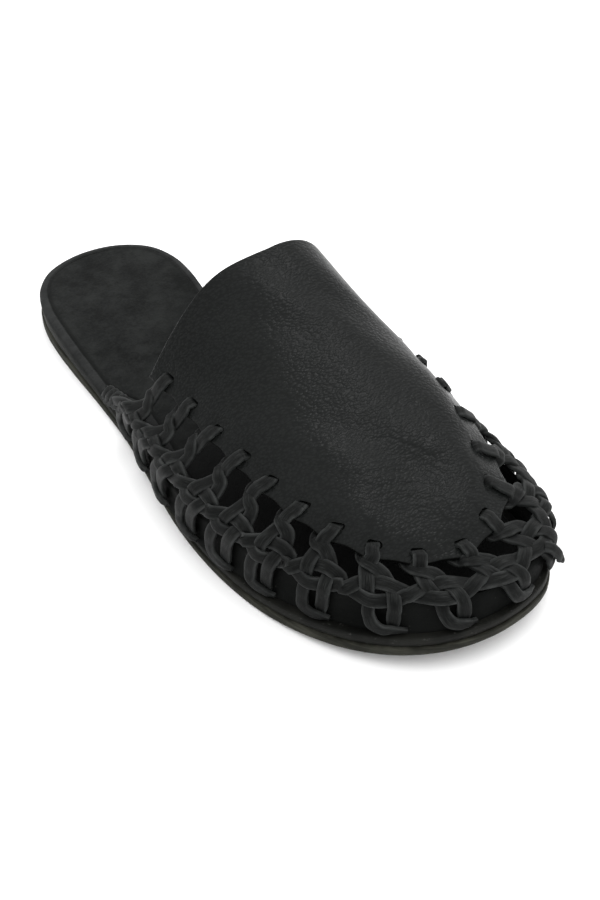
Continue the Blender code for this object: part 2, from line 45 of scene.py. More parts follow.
CURVE_STEPS = 24  # points in each span of a smooth curve
MERGE = 0.02  # points of a sheet that lie nearer than this become one

# Sole
SOLE_OUTLINE = (  # share of length, lateral edge, medial edge
    (0.02, -18.7, 21.0),
    (0.05, -26.8, 29.8),
    (0.10, -32.9, 34.2),
    (0.15, -35.8, 33.9),
    (0.20, -37.5, 31.7),
    (0.30, -39.9, 27.9),
    (0.40, -43.2, 26.4),
    (0.50, -49.2, 29.8),
    (0.60, -54.4, 39.3),
    (0.70, -55.8, 46.4),
    (0.80, -52.2, 47.1),
    (0.85, -47.8, 45.8),
    (0.90, -41.2, 42.6),
    (0.95, -30.2, 36.2),
    (0.98, -18.6, 27.6),
)
HEEL_TIP_X = 1.0
TOE_TIP_X = 4.5
SPRING_START = 0.72  # share of the length where the toe starts to lift
TOE_SPRING = 8.6
STATIONS = 120
LAYER_HEIGHTS = (0.0, 4.7, 5.0, 9.5, 9.8, 14.0)  # bottom and top of outsole, midsole and insole at the heel
SOLE_DROP = (  # y, how far the tops of outsole, midsole and insole lie below those heights
    (0.0, 0.0, 0.0, 0.0),
    (40.0, 0.0, 0.0, 0.0),
    (95.0, 2.0, 4.2, 4.6),
    (150.0, 1.8, 3.8, 4.2),
    (200.0, 1.4, 3.0, 3.4),
    (245.0, 0.8, 1.7, 2.1),
    (275.0, 0.9, 1.9, 2.3),
)
OUTSOLE_EDGE = (  # inset, height
    (1.3, 0.0), (0.6, 0.15), (0.15, 0.5), (0.0, 1.1), (0.0, 2.6), (0.0, 3.9), (0.15, 4.4), (0.6, 4.7),
)
MIDSOLE_EDGE = (
    (1.5, 5.0), (0.9, 5.1), (0.7, 5.5), (0.65, 7.2), (0.75, 8.7), (1.0, 9.2), (1.5, 9.45), (2.4, 9.5),
    (6.5, 9.5),
)
INSOLE_EDGE = (
    (0.6, 9.8), (0.12, 10.1), (0.0, 10.7), (0.05, 12.5), (0.4, 13.2), (1.1, 13.7), (2.0, 13.95), (2.8, 14.0),
    (3.2, 13.9), (3.55, 13.68), (3.9, 13.9), (4.4, 14.0),
)
INSOLE_REAR_INSET = 0.2
INSOLE_FRONT_INSET = 8.3
INSOLE_STEP = (0.305, 0.372)  # shares of length between which the insole draws in
INSOLE_RIM = (  # burnish of each row of that edge, partly a painted sheen on the top, or its shade below zero
    0.0, 0.0, 0.0, 0.15, 0.7, 0.95, 0.85, 0.75, 0.6, 0.0, -0.5, -0.6,
)
SOLE_COLUMNS = 8  # faces across a flat side
FOOTBED_COLUMNS = 36
FOOTBED_DISHES = (  # x and y of the middle, half width, half length, depth
    (0.0, 40.0, 22.0, 30.0, 0.7),
    (-4.0, 190.0, 30.0, 34.0, 0.5),
)

# Upper: the wall leaves the feather line, passes the row of slots and closes at the ridge
FEATHER_INSET_LATERAL = ((90.0, 0.5), (125.0, -0.8), (165.0, -0.8), (195.0, 1.5), (215.0, 3.0), (275.0, 3.0))
FEATHER_INSET_MEDIAL = (  # y, inset from the sole's edge
    (90.0, 2.0), (190.0, 2.0), (215.0, 0.6), (250.0, 0.4), (268.0, 2.4), (275.0, 3.0),
)
FOOT_SHIFT = (  # share, how far ahead of the slots the sections start on the feather line
    (0.0, 2.0), (0.06, -2.5), (0.13, -6.0), (0.1955, -6.5), (0.2466, -7.5), (0.297, -8.5), (0.3446, -4.8),
    (0.3915, 0.6), (0.4423, 6.0),
    (0.5, 8.5), (0.58, 9.5), (0.7, 10.0), (1.0, 10.0),
)
WALL_LEAN = (  # share, outward lean of the wall where it leaves the feather line
    (0.0, 0.1), (0.2, 0.1), (0.34, 0.05), (0.45, 0.0), (0.53, 0.35), (0.62, 0.8), (0.75, 0.4), (1.0, 0.2),
)
FEATHER_REAR_Y = 99.0
FEATHER_HEIGHT = LAYER_HEIGHTS[4]
SLOT_ROW = (  # y, lateral x, lateral z, medial x, medial z
    (112.0, -36.0, 45.0, 45.0, 43.4),
    (135.0, -36.0, 45.0, 46.3, 43.0),
    (151.0, -36.8, 44.2, 46.4, 42.5),
    (170.0, -37.8, 44.0, 45.8, 42.5),
    (192.0, -37.7, 43.0, 42.1, 42.5),
    (212.0, -36.0, 41.0, 35.8, 41.0),
    (228.0, -31.1, 38.5, 29.5, 38.0),
    (242.0, -21.7, 35.0, 21.5, 35.4),
)
SLOT_ROW_TIP = (0.0, 251.8, 32.4)
COLLAR_Y = 124.7
RIDGE = (  # y, x, z
    (105.0, 16.0, 85.0),
    (126.6, 13.5, 77.2),
    (150.0, 10.0, 67.7),
    (178.0, 6.5, 57.2),
    (200.0, 4.6, 49.6),
    (220.0, 3.7, 43.0),
)
RIDGE_COLLAR_Y = 126.6
RIDGE_TOE_Y = 220.0
TOE_FAN = 0.14  # share of the wall on each side of the toe that closes on the ridge's front end
COLLAR_FADE = 0.2  # share behind which the wall runs straight up to the slots
WALL_BULGE = 1.8
CROWN_FULLNESS = (  # share, pull at the ridge
    (0.0, 1.7), (0.36, 1.05), (0.5, 1.0), (0.64, 1.0), (0.85, 1.1), (1.0, 2.0),
)
SHOULDER_FULLNESS = (  # share, pull at the slots
    (0.0, 1.55), (0.36, 1.1), (0.5, 1.1), (0.64, 1.05), (0.85, 1.05), (1.0, 1.65),
)
WALL_STEPS = 61
WALL_REACH = 1.5  # how far up a section the wall is measured: 1 at the slots, 2 at the ridge
SMALL_SHARE = 0.002  # steps for directions on the wall
SMALL_RISE = 0.5

# Vamp and band
SLOTS = 19
FIRST_SLOT = 0.0275
SLOT_PITCH = (1.0 - 2.0 * FIRST_SLOT) / (SLOTS - 1)
SLOT_SHIFT = (  # off an even spacing, for each slot
    0.0, 0.6, 2.2, 3.0, 2.6, 2.1, 0.6, -1.0, -1.5, -0.8, -1.5, -2.6, -2.4, -1.0, 0.0, 0.0, 0.0, 0.0, 0.0,
)
SLOT_ROW_LENGTH = 286.0
EDGE_BELOW_SLOT = (  # share, how far the vamp reaches below its slots
    (0.0, 4.6), (0.34, 4.6), (0.4, 4.2), (0.4475, 4.0), (0.5, 4.6), (0.5525, 6.2), (0.605, 9.4), (0.66, 9.6),
    (0.75, 8.0), (0.85, 6.0), (1.0, 5.0),
)
VAMP_THICKNESS = 2.0
VAMP_COLUMNS_PER_SLOT = 20
VAMP_COLLAR_COLUMNS = 2  # between the rows along the collar's edge and the first slot
VAMP_EDGE_ROWS = (0.0, 0.2, 0.5, 0.9, 1.4, 2.0, 2.8, 3.7)  # in from the cut edge
VAMP_EDGE_REACH = 4.6  # in from the cut edge, where these rows meet the rest
VAMP_ROWS = 64  # from the slots to the ridge
POLE_REACH = 16.0  # round the ridge's front end, where the sections close and are smoothed
POLE_PASSES = 12
EDGE_ROUNDING = 0.8
EDGE_LEAST = 0.45  # share of the thickness left at the cut edge
EDGE_SCALLOP = 0.55  # the edge is drawn down at each loop
SLOT_SIZE = (5.2, 2.6, 6.0)  # along the edge, up the wall, through the leather
SLOT_CORNERS = 20
SLOT_RAISE = 0.35  # the lace fills the lower part of its slot
SLOT_LEAD = 1.5  # along the edge, from the middle of its loop
CREST = ((130.0, 9.0), (165.0, 7.5), (195.0, 8.5), (235.0, 8.0))  # y, x of the line where the vamp is fullest
CREST_SIZE = (0.55, 12.0)  # height, half width
CREST_ENDS = (128.0, 150.0, 212.0, 238.0)  # y between which it rises and dies out
CREASES = (  # x and y of both ends, depth, half width
    (-17.0, 216.0, 5.0, 225.5, 0.10, 1.0),
    (-12.0, 223.5, 8.0, 232.5, 0.10, 0.9),
    (-10.0, 229.5, 2.0, 235.0, 0.08, 0.9),
    (6.0, 212.0, 15.0, 227.0, 0.08, 0.9),
    (-25.0, 213.0, -12.0, 218.5, 0.07, 1.0),
    (3.0, 219.0, 17.0, 224.0, 0.07, 0.9),
    (13.0, 206.0, 21.0, 219.0, 0.07, 1.0),
    (-7.0, 206.0, 8.0, 212.0, 0.07, 1.1),
)
CREASE_LIP = 0.35  # share of the depth that the leather rises beside a crease
CREASE_BOW = 0.06  # share of its length
CREASE_END = 0.02  # share of its length where its depth stops falling
CREASE_FADE = 0.6  # power of that fall
SWELLS = (  # length of the wave in x, in y, height, phase
    (41.0, 63.0, 0.22, 0.4),
    (-27.0, 47.0, 0.16, 2.1),
    (23.0, -31.0, 0.10, 4.0),
)
SLOT_PULL = 0.4  # the lace draws the leather in at each slot
SLOT_PULL_REACH = 3.4
BAND_OUTSIDE = -2.6  # outer face, out of the wall
BAND_ENDS = (0.016, 0.952)  # shares
BAND_THICKNESS = 2.0
BAND_HEIGHT = (  # share, height up the wall
    (0.0, 7.0), (0.12, 11.5), (0.3, 15.0), (0.5, 14.5), (0.7, 15.0), (0.88, 11.5), (1.0, 7.0),
)
BAND_SECTIONS = 201
BAND_FACE = (  # share of height, inset
    (0.0, -2.0), (0.07, -1.6), (0.16, -0.8), (0.3, -0.2), (0.6, 0.0), (0.88, 0.0), (0.96, 0.15), (1.0, 0.5),
)

# Lace: woven flat, one loop every FLAT_PITCH, then wrapped onto the wall
LACE_WIDTH = 4.8
LACE_THICKNESS = 1.5
LACE_CORNER = 0.4
CORNER_MIDDLE = 0.3  # share of the corner that its middle lies in from both faces
LACE_CROWN = 0.2  # fullness of the outer face
SPAN_STEPS = 9  # points in each span of a strip
CHAIN_HEIGHT = 17.5
CHAIN_LIFT = (  # share, how far the chain stands above that height
    (0.0, 7.4), (0.1955, 6.9), (0.2466, 5.8), (0.297, 4.4), (0.3446, 1.8), (0.3915, -0.2),
    (0.4423, -0.5), (0.55, -0.2), (0.7, 3.2), (1.0, 5.9),
)
CHAIN_LEAD = 1.7  # how far the chain's loops lie ahead of their slots
TRACK = 3.0  # distance of each strand from the middle of the chain
LEG = 3.25  # distance of each leg from the middle of its loop
OVER = 0.8  # how far a strip rises or dips at a crossing
FLAT_PITCH = 19.0
LOOP_HALF = 5.2  # half width of a loop that keeps its size on the wall
CHAIN_TOP = CHAIN_HEIGHT + TRACK + LACE_WIDTH / 2
CHAIN_BOTTOM = CHAIN_HEIGHT - TRACK - LACE_WIDTH / 2
FOOT_TOP = 8.2  # below this, heights on the wall are those of the flat lace
FLAT_EDGE = CHAIN_TOP + 7.0
FLAT_SLOT = FLAT_EDGE + 4.6
SLOT_ZONE = 1.9  # below the slots, the height that keeps its size
FLAT_HEIGHTS = {"slot": FLAT_SLOT, "edge": FLAT_EDGE, "chain": CHAIN_HEIGHT, "foot": 0.0}
LEFT_LEG = (  # measured from, along the edge, up the wall, out of the wall, share of width
    ("slot", 1.0, 0.6, -3.4, 1.0),
    ("slot", 1.0, 0.45, -0.8, 1.0),
    ("slot", 1.0, -0.2, 1.35, 1.0),
    ("slot", 0.9, -1.7, 1.95, 1.0),
    ("edge", 0.6, 0.3, 1.9, 1.0),
    ("edge", -0.6, -3.6, -0.6, 1.0),
    ("chain", CHAIN_LEAD - LEG, TRACK, OVER, 1.0),
    ("chain", CHAIN_LEAD - LEG - 0.3, -TRACK, -OVER, 1.0),
    ("foot", -LEG - 0.3, 8.2, 0.1, 1.0),
    ("foot", -2.4, 4.6, 0.8, 1.0),
    ("foot", 0.6, 2.7, 1.0, 0.9),
    ("foot", 3.8, 2.2, 0.8, 0.7),
    ("foot", 6.6, 1.6, -0.2, 0.3),
)
RIGHT_LEG = (
    ("foot", 2.6, 2.6, -1.0, 0.8),
    ("foot", LEG - 0.2, 6.5, -0.5, 1.0),
    ("chain", CHAIN_LEAD + LEG - 0.2, -TRACK, OVER, 1.0),
    ("chain", CHAIN_LEAD + LEG + 0.1, TRACK, -OVER, 1.0),
    ("edge", 3.4, -5.2, 0.4, 1.0),
    ("edge", 0.2, -3.4, 1.0, 1.0),
    ("edge", -2.6, -1.9, 0.5, 0.9),
    ("edge", -4.3, -0.6, -1.3, 0.6),
    ("edge", -4.4, 1.2, -2.1, 0.6),
    ("slot", -1.5, -1.0, -2.3, 0.8),
    ("slot", 1.0, 0.5, -2.6, 1.0),
)
STRAND_END = ((9.5, -6.0, 0.4), (8.3, -4.4, -0.5))  # past the last leg, up, out, for each strand
STRAND_END_WIDTH = 0.8  # share of width
LEG_WANDER = 0.45  # spread of a leg's shift along the edge
ROW_WANDER = 0.22  # spread of each row's shift
WIDTH_WANDER = 0.05
SLOT_WANDER = 0.3  # share of the rows' wander that a slot allows
WANDER_SEED = 19
GRAIN_STEP = (10.0, 37.0)  # across and along, how far each strip's grain starts from the last one's
TAIL = ((-45.2, 115.0, 24.0), (-41.4, 92.0, 14.2))  # both ends of the short plait behind the first loop
TAIL_OUT = (-0.75, 0.0, 0.66)  # direction that it faces
TAIL_BENDS = 5
TAIL_SWING = 2.3
TAIL_OVER = 0.7
TAIL_TAPER = ((0.0, 0.64), (0.85, 0.64), (1.0, 0.3))  # share of its length, share of width
LOOSE_END = (  # the cut end that stands off at the medial toe: along, up, out, share of width
    (187.5, 14.0, 0.9, 0.9), (188.0, 10.6, 1.7, 0.9), (188.8, 7.2, 2.7, 0.8), (189.8, 5.4, 3.8, 0.35),
)


def hermite(start, start_pull, end, end_pull, s):
    """Cubic from start to end with the given pulls, at s from 0 to 1."""
    return ((2 * s**3 - 3 * s**2 + 1) * start + (s**3 - 2 * s**2 + s) * start_pull
            + (3 * s**2 - 2 * s**3) * end + (s**3 - s**2) * end_pull)


def smooth_step(s):
    """Ease from 0 to 1."""
    s = np.clip(s, 0.0, 1.0)
    return s * s * (3.0 - 2.0 * s)


def smooth_curve(points, closed=False, steps=CURVE_STEPS):
    """Dense points of a smooth curve through the given points."""
    p = np.asarray(points, float)
    if closed:
        p = np.vstack([p, p[:1]])
    step = np.linalg.norm(np.diff(p, axis=0), axis=1)[:, None]
    slope = np.diff(p, axis=0) / step
    pull = np.empty_like(p)
    pull[1:-1] = (slope[:-1] * step[1:] + slope[1:] * step[:-1]) / (step[:-1] + step[1:])
    pull[0] = slope[0]
    pull[-1] = slope[-1]
    if closed:
        pull[0] = (slope[-1] * step[0] + slope[0] * step[-1]) / (step[0] + step[-1])
        pull[-1] = pull[0]
    s = np.linspace(0.0, 1.0, steps, endpoint=False)[:, None]
    spans = [hermite(p[i], pull[i] * step[i], p[i + 1], pull[i + 1] * step[i], s) for i in range(len(step))]
    return np.vstack(spans + [p[-1:]])


def smooth_table(rows, x):
    """Values of a table at x, on a smooth curve through its rows."""
    at, value = np.array(rows).T
    slope = np.gradient(value, at)
    i = np.clip(np.searchsorted(at, x) - 1, 0, len(at) - 2)
    step = at[i + 1] - at[i]
    s = np.clip((x - at[i]) / step, 0.0, 1.0)
    return hermite(value[i], slope[i] * step, value[i + 1], slope[i + 1] * step, s)


def run_of(curve):
    """Distance along a dense curve at each of its points."""
    return np.concatenate([[0.0], np.cumsum(np.linalg.norm(np.diff(curve, axis=0), axis=1))])


def point_at(curve, run, distance):
    """Points of a dense curve at distances along it."""
    return np.stack([np.interp(distance, run, curve[:, k]) for k in range(curve.shape[1])], axis=-1)


def unit(v):
    """Vectors brought to length 1."""
    return v / np.linalg.norm(v, axis=-1, keepdims=True)


def toe_spring(y):
    """How far the sole has lifted off the floor."""
    return TOE_SPRING * np.clip((y / LENGTH - SPRING_START) / (1.0 - SPRING_START), 0.0, None) ** 2


def sole_height(height, y):
    """Height above the floor of what lies at the given height at the heel: the sole thins ahead of it."""
    y_rows, *drops = np.array(SOLE_DROP).T
    drops = [np.zeros_like(y)] + [smooth_table(np.column_stack([y_rows, drop]), y) for drop in drops]
    layer = np.interp(height, LAYER_HEIGHTS, (0, 1, 1, 2, 2, 3))
    low = min(int(layer), len(drops) - 2)
    drop = drops[low] + (layer - low) * (drops[low + 1] - drops[low])
    return height - drop + toe_spring(y)


def to_part(points):
    """Shoe millimetres to the part's frame in metres."""
    p = np.asarray(points, float)
    return np.stack([p[..., 0] - MIDDLE_X, LENGTH / 2 - p[..., 1], p[..., 2]], axis=-1) * MM


def turned(directions):
    """Shoe directions to the part's frame."""
    return directions * np.array([1.0, -1.0, 1.0])


# Sole outline and the upper's surface
def sole_sides():
    """Dense lateral and medial halves of the outline, both from heel tip to toe tip, with inward normals."""
    lateral = [(row[1], row[0] * LENGTH) for row in SOLE_OUTLINE]
    medial = [(row[2], row[0] * LENGTH) for row in SOLE_OUTLINE]
    ring = smooth_curve([(HEEL_TIP_X, 0.0)] + lateral + [(TOE_TIP_X, LENGTH)] + medial[::-1], closed=True)
    along = unit(np.roll(ring[:-1], -1, axis=0) - np.roll(ring[:-1], 1, axis=0))
    inward = np.stack([along[:, 1], -along[:, 0]], axis=1)
    inward = np.vstack([inward, inward[:1]])
    toe = int(np.argmax(ring[:, 1]))
    return (ring[: toe + 1], inward[: toe + 1]), (ring[toe:][::-1], inward[toe:][::-1])


SIDES = sole_sides()


def sole_ring(inset):
    """The outline drawn in by inset(y): heel tip, lateral points, toe tip, medial points back to the heel."""
    y = LENGTH / 2 * (1.0 - np.cos(np.linspace(0.0, np.pi, STATIONS + 1)))
    halves = []
    for side, inward in SIDES:
        rows = [np.interp(y, side[:, 1], column) for column in (side[:, 0], inward[:, 0], inward[:, 1])]
        edge = np.stack([rows[0], y], axis=1)
        halves.append(edge + unit(np.stack(rows[1:], axis=1)) * inset(y)[:, None])
    lateral, medial = halves
    return np.vstack([lateral, medial[-2:0:-1]])


def insole_inset(y):
    """Full width under the heel, inside the band in front."""
    s = smooth_step((y / LENGTH - INSOLE_STEP[0]) / (INSOLE_STEP[1] - INSOLE_STEP[0]))
    return INSOLE_REAR_INSET + (INSOLE_FRONT_INSET - INSOLE_REAR_INSET) * s


class Rail:
    """A curve round the toe, with share 0 at the lateral rear and 1 at the medial rear, at the given y."""

    def __init__(self, curve, rear_y):
        self.curve = curve
        self.run = run_of(curve)
        tip = int(np.argmax(curve[:, 1]))
        self.start = np.interp(rear_y, curve[: tip + 1, 1], self.run[: tip + 1])
        self.end = np.interp(-rear_y, -curve[tip:, 1], self.run[tip:])

    def at(self, share):
        return point_at(self.curve, self.run, self.start + share * (self.end - self.start))


def slot_rail():
    """The row of slots."""
    lateral = [(row[1], row[0], row[2]) for row in SLOT_ROW]
    medial = [(row[3], row[0], row[4]) for row in SLOT_ROW]
    return Rail(smooth_curve(lateral + [SLOT_ROW_TIP] + medial[::-1]), COLLAR_Y)


def feather_rail():
    """The line where the wall meets the sole."""
    (lateral, lateral_in), (medial, medial_in) = SIDES
    lateral = lateral + lateral_in * smooth_table(FEATHER_INSET_LATERAL, lateral[:, 1])[:, None]
    medial = medial + medial_in * smooth_table(FEATHER_INSET_MEDIAL, medial[:, 1])[:, None]
    flat = np.vstack([lateral, medial[-2::-1]])
    return Rail(np.column_stack([flat, sole_height(FEATHER_HEIGHT, flat[:, 1])]), FEATHER_REAR_Y)


SLOT_RAIL = slot_rail()
FEATHER_RAIL = feather_rail()
RIDGE_LINE = smooth_curve(RIDGE)


def ridge_at(share):
    """Ridge point that a section closes on, and the ridge's slope there."""
    back = np.clip((np.abs(share - 0.5) - TOE_FAN) / (0.5 - TOE_FAN), 0.0, None)
    y = RIDGE_TOE_Y + (RIDGE_COLLAR_Y - RIDGE_TOE_Y) * back
    x = np.interp(y, RIDGE_LINE[:, 0], RIDGE_LINE[:, 1])
    z = np.interp(y, RIDGE_LINE[:, 0], RIDGE_LINE[:, 2])
    slope = np.interp(y, RIDGE_LINE[:, 0], np.gradient(RIDGE_LINE[:, 2], RIDGE_LINE[:, 0]))
    return np.stack([x, y, z], axis=-1), slope


def foot_at(share):
    """Point of the feather line that a section starts from, and the direction the wall leaves it."""
    there = share + smooth_table(FOOT_SHIFT, share) / (FEATHER_RAIL.end - FEATHER_RAIL.start)
    along = FEATHER_RAIL.at(there + SMALL_SHARE) - FEATHER_RAIL.at(there - SMALL_SHARE)
    outward = np.stack([-along[..., 1], along[..., 0], np.zeros_like(there)], axis=-1)
    lean = smooth_table(WALL_LEAN, share)[..., None]
    return FEATHER_RAIL.at(there), unit(unit(outward) * lean + np.array([0.0, 0.0, 1.0]))


def section(share, q):
    """Points of the upper's middle surface: q is 0 at the feather line, 1 at the slots and 2 at the ridge."""
    slot = SLOT_RAIL.at(share)
    feather, rise = foot_at(share)
    ridge, slope = ridge_at(share)
    shoulder = smooth_table(SHOULDER_FULLNESS, share)[..., None]
    crown_pull = smooth_table(CROWN_FULLNESS, share)[..., None]
    outward = slot - ridge
    outward[..., 2] = slope * outward[..., 1]
    fall = unit(slot - ridge) + unit(feather - slot)
    fall[..., 1] *= smooth_step(np.minimum(share, 1.0 - share) / COLLAR_FADE)
    fall = unit(fall)
    low = np.linalg.norm(feather - slot, axis=-1, keepdims=True) * WALL_BULGE
    high = np.linalg.norm(slot - ridge, axis=-1, keepdims=True) * shoulder
    q = q[..., None]
    wall = hermite(feather, low * rise, slot, -fall * low, np.clip(q, 0.0, 1.0))
    crown = hermite(slot, -fall * high, ridge, -outward * crown_pull, np.clip(q - 1.0, 0.0, 1.0))
    return np.where(q <= 1.0, wall, crown)


def wall_curves(share):
    """Sections through the lower wall at each share, with the distance up from the feather line."""
    q = np.linspace(0.0, WALL_REACH, WALL_STEPS)
    grid = (WALL_STEPS, len(share))
    curves = section(np.broadcast_to(share, grid), np.broadcast_to(q[:, None], grid))
    steps = np.linalg.norm(np.diff(curves, axis=0), axis=2)
    run = np.vstack([np.zeros(len(share)), np.cumsum(steps, axis=0)])
    return curves, run, q


def wall(share, up):
    """Points of the wall at distances up from the feather line."""
    curves, run, _ = wall_curves(share)
    return np.array([point_at(curves[:, i], run[:, i], up[i]) for i in range(len(share))])


def slot_height(share):
    """Distance of the slots up the wall."""
    _, run, q = wall_curves(share)
    return np.array([np.interp(1.0, q, run[:, i]) for i in range(len(share))])


def wall_speed(share, up):
    """Millimetres along the wall for each unit of share."""
    apart = np.linalg.norm(wall(share + SMALL_SHARE, up) - wall(share - SMALL_SHARE, up), axis=1)
    return apart / (2.0 * SMALL_SHARE)


def place(share, along, up, out):
    """Points set off from the wall, with the directions along the edge, up the wall and out of it."""
    there = share + along / wall_speed(share, up)
    edgewise = unit(wall(there + SMALL_SHARE, up) - wall(there - SMALL_SHARE, up))
    upward = unit(wall(there, up + SMALL_RISE) - wall(there, up - SMALL_RISE))
    normal = unit(np.cross(upward, edgewise))
    return wall(there, up) + normal * out[:, None], edgewise, upward, normal


def edge_height(share):
    """Distance of the vamp's edge up the wall."""
    return slot_height(share) - smooth_table(EDGE_BELOW_SLOT, share)


def slot_shares():
    """Share of each slot's loop."""
    return FIRST_SLOT + SLOT_PITCH * np.arange(SLOTS) + np.array(SLOT_SHIFT) / SLOT_ROW_LENGTH


def wrap(flat):
    """Points of the flat weave set onto the wall, with the wall's directions there."""
    nodes = slot_shares()
    loop = np.clip(np.round(flat[:, 0] / FLAT_PITCH), 0, SLOTS - 1).astype(int)
    along = flat[:, 0] - loop * FLAT_PITCH
    share = nodes[loop]
    beside = np.concatenate([[nodes[0] - SLOT_PITCH], nodes, [nodes[-1] + SLOT_PITCH]])
    half_pitch = np.where(along < 0.0, share - beside[loop], beside[loop + 2] - share) / 2
    slot = slot_height(share)
    edge = edge_height(share)
    h = flat[:, 1]
    lift = smooth_table(CHAIN_LIFT, share)
    up = np.minimum(h, CHAIN_TOP) + lift * np.clip((h - FOOT_TOP) / (CHAIN_BOTTOM - FOOT_TOP), 0.0, 1.0)
    up = up + np.clip((h - CHAIN_TOP) / (FLAT_EDGE - CHAIN_TOP), 0.0, 1.0) * (edge - CHAIN_TOP - lift)
    zone = FLAT_SLOT - SLOT_ZONE
    up = up + np.clip((h - FLAT_EDGE) / (zone - FLAT_EDGE), 0.0, 1.0) * (slot - SLOT_ZONE - edge)
    up = up + np.clip(h - zone, 0.0, None)
    core = np.clip(along, -LOOP_HALF, LOOP_HALF)
    outer = (along - core) / (FLAT_PITCH / 2 - LOOP_HALF)
    half_gap = half_pitch - LOOP_HALF / wall_speed(share, up)
    return place(share + outer * half_gap, core, up, flat[:, 2])


# Pieces
SHARP_ANGLES = {  # radians, for each node
    "outsole": 0.6, "midsole": 0.6, "insole": 0.9, "toe_band": 0.7, "vamp": 0.8, "lace_braid": 0.9,
}


def mesh_of(name, points, faces):
    """A mesh from points in metres and lists of corner numbers."""
    mesh = bpy.data.meshes.new(name)
    mesh.from_pydata([tuple(p) for p in points], [], faces)
    mesh.validate()
    return mesh


def added(name, data):
    """A new object in the scene."""
    obj = bpy.data.objects.new(name, data)
    bpy.context.scene.collection.objects.link(obj)
    return obj


def mark(mesh, name, values):
    """Give the points of a mesh an attribute that its material reads."""
    attribute = mesh.attributes.new(name, "FLOAT", "POINT")
    attribute.data.foreach_set("value", values.astype(np.float32))


def facing_out(mesh):
    """Turn the faces of a mesh outward."""
    bm = bmesh.new()
    bm.from_mesh(mesh)
    bmesh.ops.recalc_face_normals(bm, faces=bm.faces)
    bm.to_mesh(mesh)
    bm.free()


def add_piece(name, mesh, material, node):
    """A finished piece that stands for its CAD node."""
    facing_out(mesh)
    mesh.shade_smooth()
    mesh.set_sharp_from_angle(angle=SHARP_ANGLES[node])
    mesh.materials.append(material)
    obj = added(name, mesh)
    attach(obj, "root")
    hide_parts(node)


def ring_faces(low, high, count):
    """Quads between two rings that start at the given corner numbers."""
    return [(low + i, low + (i + 1) % count, high + (i + 1) % count, high + i) for i in range(count)]


def bar_faces(base, rings, count):
    """Faces of a closed bar through rings of count corners, numbered from base."""
    faces = []
    for k in range(rings - 1):
        faces += ring_faces(base + k * count, base + (k + 1) * count, count)
    last = base + (rings - 1) * count
    return faces + [list(range(base, base + count))[::-1], list(range(last, last + count))]


def cross_strips(ring, columns):
    """Inner points of strips across an outline ring, and the corner numbers of each strip from rim to rim."""
    count = len(ring)
    half = count // 2
    inner = []
    rows = []
    s = np.arange(1, columns) / columns
    for k in range(1, half):
        a = ring[k]
        b = ring[count - k]
        inner.append(a + (b - a) * s[:, None])
        first = count + (k - 1) * (columns - 1)
        rows.append([k] + list(range(first, first + columns - 1)) + [count - k])
    return np.vstack(inner), rows


def cap_faces(rows, count, offset, base):
    """Faces of a cap: its rim's corners start at base in the mesh and its inner ones at offset."""
    def corner(n):
        return base + n if n < count else offset + n - count

    half = count // 2
    faces = []
    for low, high in zip(rows[:-1], rows[1:]):
        for i in range(len(low) - 1):
            faces.append([corner(n) for n in (low[i], low[i + 1], high[i + 1], high[i])])
    for row, tip in ((rows[0], 0), (rows[-1], half)):
        for i in range(len(row) - 1):
            faces.append([corner(row[i]), corner(row[i + 1]), base + tip])
    return faces


def sole_layer(profile, inset, columns, relief=None):
    """Points and faces of a closed layer of the sole, one ring for each row of its edge profile."""
    count = 2 * STATIONS
    rings = []
    for extra, height in profile:
        flat = sole_ring(lambda y: inset(y) + extra)
        rings.append(np.column_stack([flat, sole_height(height, flat[:, 1])]))
    points = list(rings)
    faces = []
    for k in range(len(rings) - 1):
        faces += ring_faces(k * count, (k + 1) * count, count)
    total = len(rings) * count
    for base, ring in ((0, rings[0]), ((len(rings) - 1) * count, rings[-1])):
        inner, rows = cross_strips(ring, columns)
        if relief is not None and base:
            inner = relief(inner)
        points.append(inner)
        faces += cap_faces(rows, count, total, base)
        total += len(inner)
    return to_part(np.vstack(points)), faces


def footbed_relief(p):
    """Soft dishes under the heel and the ball of the foot."""
    p = p.copy()
    drop = np.zeros(len(p))
    for x, y, half_width, half_length, depth in FOOTBED_DISHES:
        drop += depth * np.exp(-(((p[:, 0] - x) / half_width) ** 2 + ((p[:, 1] - y) / half_length) ** 2))
    p[:, 2] -= drop
    return p


def sheet(grid, half):
    """A sheet through a grid of middle points, and the layer that holds their half thicknesses."""
    bm = bmesh.new()
    layer = bm.verts.layers.float.new("half")
    rows = [[bm.verts.new(p) for p in row] for row in grid]
    for row, row_half in zip(rows, half):
        for vert, h in zip(row, row_half):
            vert[layer] = h
    for low, high in zip(rows[:-1], rows[1:]):
        for i in range(len(low) - 1):
            bm.faces.new((low[i], low[i + 1], high[i + 1], high[i]))
    bmesh.ops.remove_doubles(bm, verts=bm.verts, dist=MERGE)
    bm.verts.ensure_lookup_table()
    bm.verts.index_update()
    bm.normal_update()
    return bm, layer


